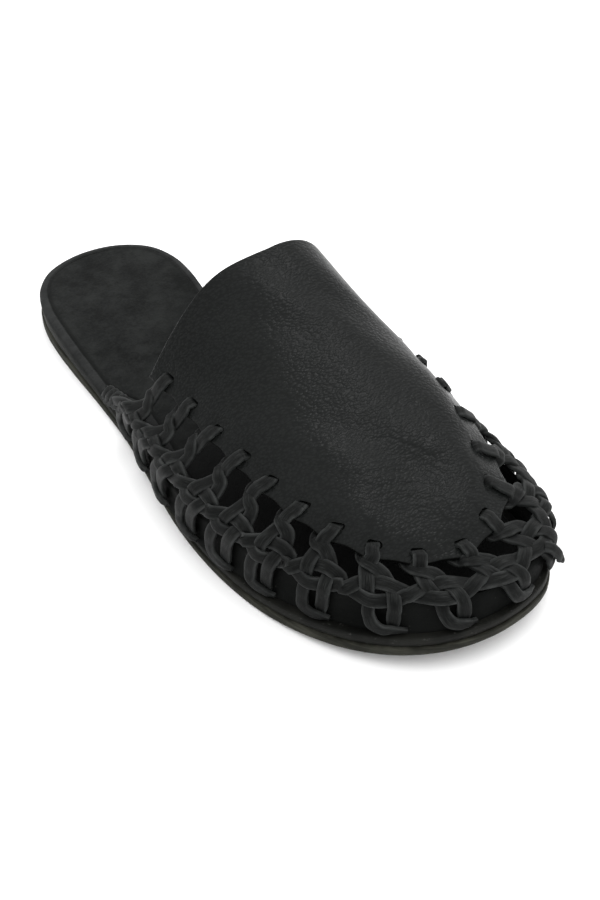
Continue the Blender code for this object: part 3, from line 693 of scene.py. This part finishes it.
def vamp_rows():
    """Middle points and half thicknesses of the vamp, in rows from its cut edge to the ridge."""
    nodes = slot_shares()
    inner = np.linspace(FIRST_SLOT, 1.0 - FIRST_SLOT, (SLOTS - 1) * VAMP_COLUMNS_PER_SLOT + 1)
    collar = np.array([0.0])
    speed = wall_speed(collar, slot_height(collar))[0]
    rim = np.array(VAMP_EDGE_ROWS) / speed
    rim = np.concatenate([rim, np.linspace(rim[-1], FIRST_SLOT, VAMP_COLLAR_COLUMNS + 2)[1:-1]])
    shares = np.concatenate([rim, inner, 1.0 - rim[::-1]])
    phase = np.interp(shares, nodes, np.arange(SLOTS))
    scallop = -EDGE_SCALLOP * np.cos(2.0 * np.pi * phase)
    below = smooth_table(EDGE_BELOW_SLOT, shares)
    slots = slot_height(shares)
    rows = []
    edge_away = []
    for away in VAMP_EDGE_ROWS:
        rise = away * below / VAMP_EDGE_REACH
        rows.append(wall(shares, slots - below + rise + scallop * (1.0 - away / VAMP_EDGE_REACH)))
        edge_away.append(rise)
    for q in np.linspace(1.0, 2.0, VAMP_ROWS):
        rows.append(section(shares, np.full(len(shares), q)))
        edge_away.append(below)
    collar_away = np.minimum(shares, 1.0 - shares) * speed
    away = np.minimum(np.array(edge_away), collar_away[None, :])
    round_off = np.sqrt(np.clip(1.0 - (1.0 - np.clip(away / EDGE_ROUNDING, 0.0, 1.0)) ** 2, 0.0, 1.0))
    half = VAMP_THICKNESS / 2 * (EDGE_LEAST + (1.0 - EDGE_LEAST) * round_off)
    return np.array(rows), half


def crease(p, x0, y0, x1, y1, depth, half_width):
    """How far the leather stands out at one crease: a bowed trough between two lips."""
    start = np.array([x0, y0])
    way = np.array([x1, y1]) - start
    length = np.linalg.norm(way)
    s = np.clip((p[:, :2] - start) @ way / length**2, 0.0, 1.0)
    bow = CREASE_BOW * length * np.sin(np.pi * s)
    side = ((p[:, 0] - x0) * way[1] - (p[:, 1] - y0) * way[0]) / length - bow
    off_end = np.linalg.norm(p[:, :2] - start - s[:, None] * way, axis=1) - np.abs(side + bow)
    along = np.sin(np.pi * np.clip(s, CREASE_END, 1.0 - CREASE_END)) ** CREASE_FADE
    fade = along * np.exp(-np.clip(off_end, 0.0, None) ** 2)
    trough = -np.exp(-(side / half_width) ** 2)
    lips = CREASE_LIP * np.exp(-((np.abs(side) - 2.0 * half_width) / half_width) ** 2)
    return depth * fade * (trough + lips)


def crest(p):
    """How far the leather stands out along the line where the vamp is fullest."""
    tall, half_width = CREST_SIZE
    fade = smooth_step(np.interp(p[:, 1], CREST_ENDS, (0.0, 1.0, 1.0, 0.0)))
    off_line = p[:, 0] - np.interp(p[:, 1], *np.array(CREST).T)
    return tall * fade * np.exp(-(off_line / half_width) ** 2)


def vamp_relief(p):
    """How far each point of the vamp stands out: creases, crest, slow swells and the pull at the slots."""
    rise = np.zeros(len(p))
    for row in CREASES:
        rise += crease(p, *row)
    rise += crest(p)
    for x_wave, y_wave, height, phase in SWELLS:
        rise += height * np.sin(2.0 * np.pi * (p[:, 0] / x_wave + p[:, 1] / y_wave) + phase)
    for slot in SLOT_RAIL.at(slot_shares()):
        rise -= SLOT_PULL * np.exp(-(np.linalg.norm(p - slot, axis=1) / SLOT_PULL_REACH) ** 2)
    return rise


def make_vamp():
    """The vamp's panel before its slots are cut, with the attribute cut that is 1 at its edge."""
    grid, half = vamp_rows()
    bm, layer = sheet(grid, half)
    pole = np.array([RIDGE[-1][1], RIDGE_TOE_Y, RIDGE[-1][2]])
    near = [v for v in bm.verts if np.linalg.norm(np.array(v.co) - pole) < POLE_REACH]
    for _ in range(POLE_PASSES):
        bmesh.ops.smooth_vert(bm, verts=near, factor=0.5, use_axis_x=True, use_axis_y=True, use_axis_z=True)
    bm.normal_update()
    middle = np.array([v.co for v in bm.verts])
    normal = np.array([v.normal for v in bm.verts])
    if normal[np.argmax(middle[:, 2]), 2] < 0:
        normal = -normal
    thick = np.array([v[layer] for v in bm.verts])[:, None]
    middle = middle + normal * vamp_relief(middle)[:, None]
    count = len(middle)
    points = np.vstack([middle + normal * thick, middle - normal * thick])
    faces = []
    for face in bm.faces:
        corners = [v.index for v in face.verts]
        faces.append(corners)
        faces.append([n + count for n in corners[::-1]])
    for edge in bm.edges:
        if len(edge.link_faces) == 1:
            a, b = (v.index for v in edge.verts)
            faces.append((a, b, b + count, a + count))
    bm.free()
    mesh = mesh_of("vamp_leather", to_part(points), faces)
    cut = (1.0 - thick[:, 0] / (VAMP_THICKNESS / 2)) / (1.0 - EDGE_LEAST)
    mark(mesh, "cut", np.tile(cut, 2))
    return mesh


def slot_blocks():
    """Rounded blocks that cut the slots."""
    shares = slot_shares()
    zero = np.zeros(SLOTS)
    up = slot_height(shares) + SLOT_RAISE
    centre, edgewise, upward, normal = place(shares, zero + SLOT_LEAD, up, zero)
    turns = np.linspace(0.0, 2.0 * np.pi, SLOT_CORNERS, endpoint=False)
    long, high, deep = np.array(SLOT_SIZE) / 2
    across = np.cos(turns) * high + np.sign(np.cos(turns)) * (long - high)
    points = []
    faces = []
    for k in range(SLOTS):
        base = len(points) * SLOT_CORNERS
        outline = centre[k] + across[:, None] * edgewise[k] + (np.sin(turns) * high)[:, None] * upward[k]
        points += [outline - deep * normal[k], outline + deep * normal[k]]
        faces += bar_faces(base, 2, SLOT_CORNERS)
    mesh = mesh_of("slot_blocks", to_part(np.vstack(points)), faces)
    facing_out(mesh)
    return mesh


def cut_slots(mesh):
    """The vamp with its slots cut through."""
    facing_out(mesh)
    panel = added("vamp_panel", mesh)
    block = added("slot_blocks", slot_blocks())
    cut = panel.modifiers.new("slots", "BOOLEAN")
    cut.operation = "DIFFERENCE"
    cut.object = block
    bpy.context.view_layer.update()
    done = bpy.data.meshes.new_from_object(panel.evaluated_get(bpy.context.evaluated_depsgraph_get()))
    for obj in (panel, block):
        bpy.data.objects.remove(obj)
    done.name = "vamp_leather"
    return done


def make_band():
    """Low wall inside the lace, with a rounded top edge."""
    shares = np.linspace(*BAND_ENDS, BAND_SECTIONS)
    height = np.interp(shares, *np.array(BAND_HEIGHT).T)
    zero = np.zeros(BAND_SECTIONS)
    outer = []
    inner = []
    for level, inset in BAND_FACE:
        outer.append(place(shares, zero, height * level, zero + BAND_OUTSIDE - inset)[0])
        inside = BAND_OUTSIDE - BAND_THICKNESS + max(inset, 0.0)
        inner.append(place(shares, zero, height * level, zero + inside)[0])
    for foot in (outer[0], inner[0]):
        foot[:, 2] = sole_height(FEATHER_HEIGHT, foot[:, 1])
    ring = np.stack(outer + inner[::-1], axis=1)
    faces = bar_faces(0, BAND_SECTIONS, ring.shape[1])
    return mesh_of("band_leather", to_part(ring.reshape(-1, 3)), faces)


# Lace strips
def lace_profile():
    """Section of the lace: across, outward, and how much of a cut edge it is."""
    a, b, r = LACE_WIDTH / 2, LACE_THICKNESS / 2, LACE_CORNER
    m = CORNER_MIDDLE * r
    half = [(-a, -b + r, 1.0), (-a, b - r, 1.0), (-a + m, b - m, 1.0), (-a + r, b, 0.6),
            (-0.5 * a, b + 0.7 * LACE_CROWN, 0.0), (0.0, b + LACE_CROWN, 0.0)]
    top = half + [(-x, y, e) for x, y, e in half[-2::-1]]
    low = [(a - m, -b + m, 1.0), (a - r, -b, 0.6), (0.0, -b, 0.0), (-a + r, -b, 0.6), (-a + m, -b + m, 1.0)]
    return np.array(top + low)


PROFILE = lace_profile()


class Weave:
    """Collects strips into one mesh, with coordinates along and across the lace for its grain."""

    def __init__(self):
        self.points = []
        self.faces = []
        self.grain = []
        self.crossing_shade = []
        self.total = 0

    def strip(self, rows):
        """A strip through rows of along, up, out and share of width in the flat weave."""
        rows = np.asarray(rows, float)
        plan = smooth_curve(rows[:, :2], steps=SPAN_STEPS)
        ease = smooth_step(np.linspace(0.0, 1.0, SPAN_STEPS, endpoint=False))[:, None]
        levels = [low + (high - low) * ease for low, high in zip(rows[:-1, 2:], rows[1:, 2:])]
        levels = np.vstack(levels + [rows[-1:, 2:]])
        middle, edgewise, upward, _ = wrap(np.column_stack([plan, levels[:, 0]]))
        heading = unit(np.gradient(plan, axis=0))
        wide = unit(turned(edgewise * heading[:, 1:] - upward * heading[:, :1]))
        # 1 where the strip dips under another: the mask for the painted shade at crossings
        crossing_shade = np.clip(0.5 - levels[:, 0] / (2.0 * OVER), 0.0, 1.0)
        self.sweep(to_part(middle) / MM, wide, levels[:, 1], crossing_shade)

    def sweep(self, middle, wide, width, crossing_shade):
        """A strip along middle points in the part's frame: the last argument is 1 where it passes under
        another, and there the lace's material paints shade.
        """
        forward = unit(np.gradient(middle, axis=0))
        thick = unit(np.cross(wide, forward))
        wide = np.cross(forward, thick)
        count = len(PROFILE)
        across = PROFILE[None, :, 0, None] * width[:, None, None]
        ring = middle[:, None] + wide[:, None] * across + thick[:, None] * PROFILE[None, :, 1, None]
        number = len(self.points)
        grain = np.empty(ring.shape)
        grain[..., 0] = PROFILE[:, 0] + number * GRAIN_STEP[0]
        grain[..., 1] = run_of(middle)[:, None] + number * GRAIN_STEP[1]
        grain[..., 2] = PROFILE[:, 2]
        self.points.append(ring.reshape(-1, 3))
        self.grain.append(grain.reshape(-1, 3))
        self.crossing_shade.append(np.repeat(crossing_shade, count))
        self.faces += bar_faces(self.total, len(ring), count)
        self.total += len(ring) * count

    def mesh(self):
        """All strips as one mesh, with what the lace's material reads."""
        mesh = mesh_of("lace_strips", np.vstack(self.points) * MM, self.faces)
        attribute = mesh.attributes.new("grain", "FLOAT_VECTOR", "POINT")
        attribute.data.foreach_set("vector", np.vstack(self.grain).astype(np.float32).ravel())
        # Mask for the painted shade where strips pass under each other
        mark(mesh, "crossing_shade", np.concatenate(self.crossing_shade))
        return mesh


def leg_rows(loop, table, rng):
    """Rows of one leg, each a little off its even place."""
    lean = rng.normal(0.0, LEG_WANDER)
    rows = []
    for at, along, up, out, width in table:
        shift = rng.normal(0.0, ROW_WANDER, 2)
        if at == "slot":
            shift *= SLOT_WANDER
        else:
            shift[0] += lean
        rows.append((loop * FLAT_PITCH + along + shift[0], FLAT_HEIGHTS[at] + up + shift[1], out,
                     width * (1.0 + rng.normal(0.0, WIDTH_WANDER))))
    return rows


def tail_strip(weave, turn):
    """One strip of the short plait behind the first loop: turn is 1 for one and -1 for the other."""
    ends = np.array(TAIL)
    way = ends[1] - ends[0]
    side = unit(np.cross(TAIL_OUT, way))
    rows = []
    for k in range(2 * TAIL_BENDS + 1):
        swing = turn * TAIL_SWING * math.cos(math.pi * k / 2)
        over = turn * TAIL_OVER * math.sin(math.pi * k / 2)
        rows.append(ends[0] + way * k / (2 * TAIL_BENDS) + side * swing + np.array(TAIL_OUT) * over)
    middle = to_part(smooth_curve(rows, steps=SPAN_STEPS)) / MM
    wide = unit(np.cross(turned(np.array(TAIL_OUT)), np.gradient(middle, axis=0)))
    taper = np.interp(np.linspace(0.0, 1.0, len(middle)), *np.array(TAIL_TAPER).T)
    weave.sweep(middle, wide, taper, np.zeros(len(middle)))


def strand_rows(first):
    """One strand round the shoe: first is 1 where it starts on the upper track and -1 on the lower one."""
    past, rise, out = STRAND_END[0] if first > 0 else STRAND_END[1]
    rows = [(CHAIN_LEAD - past, CHAIN_HEIGHT + rise, out, STRAND_END_WIDTH)]
    for loop in range(SLOTS):
        track = first * (-1) ** loop
        middle = loop * FLAT_PITCH + CHAIN_LEAD
        rows.append((middle - LEG, CHAIN_HEIGHT + track * TRACK, -track * OVER, 1.0))
        rows.append((middle + LEG, CHAIN_HEIGHT + track * TRACK, track * OVER, 1.0))
        if loop < SLOTS - 1:
            rows.append((middle + FLAT_PITCH / 2, CHAIN_HEIGHT, -track * OVER, 1.0))
    rows.append((middle + past, CHAIN_HEIGHT + rise, out, STRAND_END_WIDTH))
    return rows


def make_lace():
    """Both strands, the legs of every loop, the short plait and the loose end."""
    weave = Weave()
    for first in (1, -1):
        weave.strip(strand_rows(first))
    rng = np.random.default_rng(WANDER_SEED)
    for loop in range(SLOTS):
        for table in (LEFT_LEG, RIGHT_LEG):
            weave.strip(leg_rows(loop, table, rng))
    for turn in (1, -1):
        tail_strip(weave, turn)
    weave.strip(LOOSE_END)
    return weave.mesh()


# Materials
VAMP_TONES = ((0.0048, 0.0053, 0.0051), (0.0096, 0.0105, 0.0101))  # dark and light
VAMP_CUT = (0.0012, 0.0013, 0.0012)
LACE_TONES = ((0.0030, 0.0034, 0.0032), (0.0245, 0.0260, 0.0254))
# Dark colour for random worn patches and for the painted shade under crossings
LACE_GRIME_AND_SHADE = (0.0024, 0.0027, 0.0026)
LACE_EDGE = (0.0430, 0.0454, 0.0444)
NUBUCK_TONES = ((0.0036, 0.0041, 0.0039), (0.0128, 0.0138, 0.0133))
# Burnished rim of the footbed, painted lighter in part as sheen
BURNISH_AND_SHEEN_TONES = ((0.0115, 0.0121, 0.0120), (0.0225, 0.0234, 0.0232))
RIM_SHADE = (0.0032, 0.0036, 0.0034)
UNDER_SHADE = (0.0030, 0.0033, 0.0032)
UNDER_VAMP = (-0.02, 0.03)  # metres: ahead of the first y the footbed takes painted shade from the vamp over it, behind the second it does not
EDGE_TONES = ((0.0042, 0.0044, 0.0039), (0.0112, 0.0115, 0.0099))
BAND_TONES = ((0.0024, 0.0027, 0.0025), (0.0052, 0.0056, 0.0053))
SPECK_TONE = (0.0300, 0.0305, 0.0280)
RUBBER_TONES = ((0.0108, 0.0110, 0.0085), (0.0340, 0.0342, 0.0272))
RUBBER_LINES = (60.0, 60.0, 1400.0)  # fine in height, long round the edge
GRAIN_TURN = (0.0, 0.0, math.radians(37.5))  # the grain is drawn out across the shoe, toward the medial toe
GRAIN_SHAPE = (0.65, 1.1, 1.1)
GRAIN_WARP = 0.0018  # metres
FIBRE_SHAPE = (3.2, 0.22, 0.0)  # across and along the lace
WEAR_SHAPE = (1.0, 0.8, 0.0)
BRUSH_TURN = (0.0, 0.0, math.radians(-25.0))
BRUSH_SHAPE = (0.75, 1.0, 1.0)


class Shade:
    """The nodes of a material, or of the world, built around its shader."""

    def __init__(self, name, kind="materials", shader="Principled BSDF"):
        self.owner = getattr(bpy.data, kind).new(name)
        self.owner.use_nodes = True
        self.tree = self.owner.node_tree
        self.shader = self.tree.nodes[shader]

    def node(self, kind, inputs=None, **settings):
        made = self.tree.nodes.new("ShaderNode" + kind)
        for key, value in settings.items():
            setattr(made, key, value)
        for key, value in (inputs or {}).items():
            self.put(made.inputs[key], value)
        return made

    def put(self, socket, value):
        if isinstance(value, bpy.types.NodeSocket):
            self.tree.links.new(value, socket)
        else:
            socket.default_value = value

    def set(self, **inputs):
        for key, value in inputs.items():
            self.put(self.shader.inputs[key.replace("_", " ")], value)

    def place(self):
        return self.node("TexCoord").outputs["Object"]

    def mark(self, name):
        """Value of an attribute of the mesh's points."""
        return self.node("Attribute", attribute_name=name).outputs["Fac"]

    def drawn(self, where, shape, turn=(0.0, 0.0, 0.0)):
        """Coordinates stretched and turned."""
        return self.node("Mapping", {"Vector": where, "Rotation": turn, "Scale": shape}).outputs["Vector"]

    def noise(self, where, scale, detail, rough=0.55):
        inputs = {"Vector": where, "Scale": scale, "Detail": detail, "Roughness": rough}
        return self.node("TexNoise", inputs).outputs["Fac"]

    def math(self, operation, a, b):
        return self.node("Math", {0: a, 1: b}, operation=operation).outputs[0]

    def weighed(self, *parts):
        """Sum of pairs of a value and its weight."""
        first, *rest = [self.math("MULTIPLY", value, weight) for value, weight in parts]
        for part in rest:
            first = self.math("ADD", first, part)
        return first

    def ramp(self, value, low, high, start=0.0, end=1.0, kind="SMOOTHSTEP"):
        """Value mapped from low..high to start..end."""
        inputs = {"Value": value, "From Min": low, "From Max": high, "To Min": start, "To Max": end}
        return self.node("MapRange", inputs, interpolation_type=kind).outputs["Result"]

    def mix(self, value, first, second):
        """From the first colour to the second; either may come from another node."""
        made = self.node("Mix", {"Factor": value}, data_type="RGBA")
        for key, colour in (("A", first), ("B", second)):
            linked = isinstance(colour, bpy.types.NodeSocket)
            self.put(made.inputs[key], colour if linked else (*colour, 1.0))
        return made.outputs["Result"]

    def bump(self, height, strength, distance):
        inputs = {"Height": height, "Strength": strength, "Distance": distance}
        return self.node("Bump", inputs).outputs["Normal"]


def grained_leather():
    """Pebbled black leather with a soft sheen."""
    shade = Shade("grained_leather")
    where = shade.place()
    warp = shade.node("TexNoise", {"Vector": where, "Scale": 300.0, "Detail": 3.0}).outputs["Color"]
    warp = shade.node("VectorMath", {0: warp, "Scale": GRAIN_WARP}, operation="SCALE").outputs["Vector"]
    bent = shade.node("VectorMath", {0: where, 1: warp}, operation="ADD").outputs["Vector"]
    drawn = shade.drawn(bent, GRAIN_SHAPE, GRAIN_TURN)
    pebble = shade.node("TexVoronoi", {"Vector": drawn, "Scale": 950.0, "Smoothness": 0.3},
                        feature="SMOOTH_F1").outputs["Distance"]
    dome = shade.ramp(pebble, 0.1, 0.8, 1.0, 0.0)
    fold = shade.noise(drawn, scale=420.0, detail=3.0, rough=0.6)
    fine = shade.noise(where, scale=3600.0, detail=2.0)
    soft = shade.noise(where, scale=45.0, detail=3.0)
    height = shade.weighed((dome, 1.0), (fold, 0.8), (fine, 0.2))
    tone = shade.weighed((dome, 0.6), (soft, 0.4))
    cut = shade.ramp(shade.mark("cut"), 0.0, 0.6)
    rough = shade.ramp(soft, 0.3, 0.7, 0.23, 0.29)
    shade.set(Base_Color=shade.mix(cut, shade.mix(tone, *VAMP_TONES), VAMP_CUT),
              Roughness=shade.math("MAXIMUM", rough, cut), Specular_IOR_Level=0.048,
              Normal=shade.bump(height, strength=0.36, distance=0.0003))
    return shade.owner


def lace_leather():
    """Flat black lace with fibres along it, paler cut edges, darker worn patches and painted shade where a
    strip passes under another.
    """
    shade = Shade("lace_leather")
    grain = shade.node("Attribute", attribute_name="grain").outputs["Vector"]
    cut = shade.node("SeparateXYZ", {0: grain}).outputs[2]
    where = shade.place()
    streak = shade.noise(shade.drawn(grain, FIBRE_SHAPE), scale=1.0, detail=4.0, rough=0.6)
    wear = shade.noise(shade.drawn(grain, WEAR_SHAPE), scale=0.12, detail=3.0, rough=0.6)
    patch = shade.noise(where, scale=180.0, detail=3.0)
    fine = shade.noise(where, scale=2600.0, detail=2.0)
    edge = shade.math("MULTIPLY", cut, shade.ramp(patch, 0.35, 0.7, 0.3, 1.0))
    pale = shade.ramp(streak, 0.42, 0.75, 0.0, 0.75)
    worn = shade.ramp(wear, 0.40, 0.60, 0.66, 0.0)
    # Darker in worn patches, and painted shade where a strip passes under another
    grime_and_shade = shade.math("MAXIMUM", worn, shade.ramp(shade.mark("crossing_shade"), 0.05, 0.6, 0.0, 0.7))
    face = shade.mix(grime_and_shade, shade.mix(pale, *LACE_TONES), LACE_GRIME_AND_SHADE)
    shade.set(Base_Color=shade.mix(shade.math("MULTIPLY", edge, 0.72), face, LACE_EDGE),
              Roughness=shade.ramp(patch, 0.3, 0.7, 0.44, 0.58), Specular_IOR_Level=0.062,
              Normal=shade.bump(shade.weighed((streak, 1.0), (fine, 0.3)), strength=0.35, distance=0.0003))
    return shade.owner


def nubuck():
    """Brushed footbed leather, with a burnished rim painted lighter in part as sheen, and painted shade where
    the vamp covers it.
    """
    shade = Shade("nubuck")
    where = shade.place()
    cloud = shade.noise(where, scale=62.0, detail=6.0, rough=0.72)
    brush = shade.noise(shade.drawn(where, BRUSH_SHAPE, BRUSH_TURN), scale=210.0, detail=5.0, rough=0.65)
    nap = shade.noise(where, scale=900.0, detail=3.0, rough=0.7)
    tone = shade.ramp(shade.weighed((cloud, 0.55), (brush, 0.25), (nap, 0.2)), 0.38, 0.62)
    rim = shade.mark("rim")
    face = shade.mix(shade.ramp(rim, 0.0, -0.6, 0.0, 0.7), shade.mix(tone, *NUBUCK_TONES), RIM_SHADE)
    # worn: the burnished rim, painted lighter in part as sheen on its top
    worn = shade.mix(shade.ramp(rim, 0.0, 0.9), face, shade.mix(tone, *BURNISH_AND_SHEEN_TONES))
    # Painted shade on the footbed toward the toe, where the vamp covers it
    toward_heel = shade.node("SeparateXYZ", {0: where}).outputs[1]
    under = shade.ramp(toward_heel, *UNDER_VAMP, 0.85, 0.0)
    shade.set(Base_Color=shade.mix(under, worn, UNDER_SHADE),
              Roughness=0.85, Specular_IOR_Level=0.055, Sheen_Weight=0.02, Sheen_Roughness=0.5,
              Normal=shade.bump(shade.math("ADD", nap, brush), strength=0.5, distance=0.0003))
    return shade.owner


def plain_leather(name, dark, light, roughness, gloss, specked):
    """Smooth black leather with pale specks, for the band and the layer under it."""
    shade = Shade(name)
    where = shade.place()
    cloud = shade.noise(where, scale=70.0, detail=4.0)
    fine = shade.noise(where, scale=1700.0, detail=3.0)
    specks = shade.ramp(shade.noise(where, scale=620.0, detail=2.0), *specked, 0.0, 0.8)
    face = shade.mix(shade.ramp(cloud, 0.35, 0.65), dark, light)
    shade.set(Base_Color=shade.mix(specks, face, SPECK_TONE), Specular_IOR_Level=gloss,
              Roughness=shade.ramp(cloud, 0.3, 0.7, roughness - 0.06, roughness + 0.08),
              Normal=shade.bump(fine, strength=0.3, distance=0.0002))
    return shade.owner


def rubber():
    """Sole rubber with faint lines round its cut edge."""
    shade = Shade("sole_rubber")
    where = shade.place()
    lines = shade.noise(shade.drawn(where, RUBBER_LINES), scale=1.0, detail=3.0)
    cloud = shade.noise(where, scale=90.0, detail=4.0)
    tone = shade.ramp(shade.weighed((lines, 0.5), (cloud, 0.5)), 0.39, 0.62)
    shade.set(Base_Color=shade.mix(tone, *RUBBER_TONES),
              Roughness=shade.ramp(cloud, 0.3, 0.7, 0.55, 0.7), Specular_IOR_Level=0.06,
              Normal=shade.bump(lines, strength=0.35, distance=0.0002))
    return shade.owner


# Floor, light and camera
CAMERA_PLACE = (-0.2376, -0.3401, 0.36535)
CAMERA_HEADING = 37.499  # degrees from +Y toward +X
CAMERA_DOWN = 41.81
CAMERA_ROLL = 0.099
CAMERA_LENS = 55.862
CAMERA_NEAR = 0.01
FLOOR_HALF = 6.0
FLOOR_TONE = (0.92, 0.92, 0.92, 1.0)
KEY_PLACE = (0.70, 0.11, 1.21)
KEY_SIZE = 0.17
KEY_WATTS = 2.8
LIGHT_FROM = (0.32, 0.18, 0.93)  # the brightest part of the studio
LIGHT_SPREAD = (-0.5, 1.0, 0.40, 2.4)  # cosine to that part, and the light there


def make_stage():
    """Plain pale floor."""
    corners = [(x * FLOOR_HALF, y * FLOOR_HALF, 0.0) for x, y in ((-1, -1), (1, -1), (1, 1), (-1, 1))]
    mesh = mesh_of("floor", corners, [(0, 1, 2, 3)])
    shade = Shade("pale_floor")
    shade.set(Base_Color=FLOOR_TONE, Roughness=0.7, Specular_IOR_Level=0.2)
    mesh.materials.append(shade.owner)
    floor = added("floor", mesh)


def make_lights():
    """Soft studio, brighter toward LIGHT_FROM, and a small key light that only gloss shows."""
    studio = Shade("studio", "worlds", "Background")
    bpy.context.scene.world = studio.owner
    toward = studio.node("TexCoord").outputs["Generated"]
    cosine = studio.node("VectorMath", {0: toward, 1: LIGHT_FROM}, operation="DOT_PRODUCT").outputs["Value"]
    spread = studio.ramp(cosine, *LIGHT_SPREAD, kind="LINEAR")
    studio.set(Color=(1.0, 1.0, 1.0, 1.0), Strength=spread)
    light = bpy.data.lights.new("key", "AREA")
    light.shape = "SQUARE"
    light.size = KEY_SIZE
    light.energy = KEY_WATTS
    key = added("key", light)
    turn = (-Vector(KEY_PLACE)).to_track_quat("-Z", "Y")
    key.matrix_world = Matrix.Translation(KEY_PLACE) @ turn.to_matrix().to_4x4()
    key.visible_diffuse = False


def make_camera():
    """Camera at the photograph's angle."""
    data = bpy.data.cameras.new("camera")
    data.lens = CAMERA_LENS
    data.clip_start = CAMERA_NEAR
    camera = added("camera", data)
    turn = (Matrix.Rotation(-math.radians(CAMERA_HEADING), 4, "Z")
            @ Matrix.Rotation(math.radians(90.0 - CAMERA_DOWN), 4, "X")
            @ Matrix.Rotation(math.radians(CAMERA_ROLL), 4, "Z"))
    camera.matrix_world = Matrix.Translation(CAMERA_PLACE) @ turn
    bpy.context.scene.camera = camera


make_camera()
make_lights()
make_stage()
bpy.context.scene.view_settings.view_transform = "Standard"

outsole = mesh_of("outsole_rubber", *sole_layer(OUTSOLE_EDGE, np.zeros_like, SOLE_COLUMNS))
midsole = mesh_of("midsole_leather", *sole_layer(MIDSOLE_EDGE, np.zeros_like, SOLE_COLUMNS))
footbed = mesh_of("footbed", *sole_layer(INSOLE_EDGE, insole_inset, FOOTBED_COLUMNS, footbed_relief))
rim = np.zeros(len(footbed.vertices))
rim[: 2 * STATIONS * len(INSOLE_RIM)] = np.repeat(INSOLE_RIM, 2 * STATIONS)
mark(footbed, "rim", rim)
edge_leather = plain_leather("edge_leather", *EDGE_TONES, roughness=0.5, gloss=0.07, specked=(0.66, 0.72))
band_leather = plain_leather("band_leather", *BAND_TONES, roughness=0.55, gloss=0.025, specked=(0.70, 0.76))
add_piece("outsole_rubber", outsole, rubber(), "outsole")
add_piece("midsole_leather", midsole, edge_leather, "midsole")
add_piece("footbed", footbed, nubuck(), "insole")
add_piece("band_leather", make_band(), band_leather, "toe_band")
add_piece("vamp_leather", cut_slots(make_vamp()), grained_leather(), "vamp")
add_piece("lace_strips", make_lace(), lace_leather(), "lace_braid")
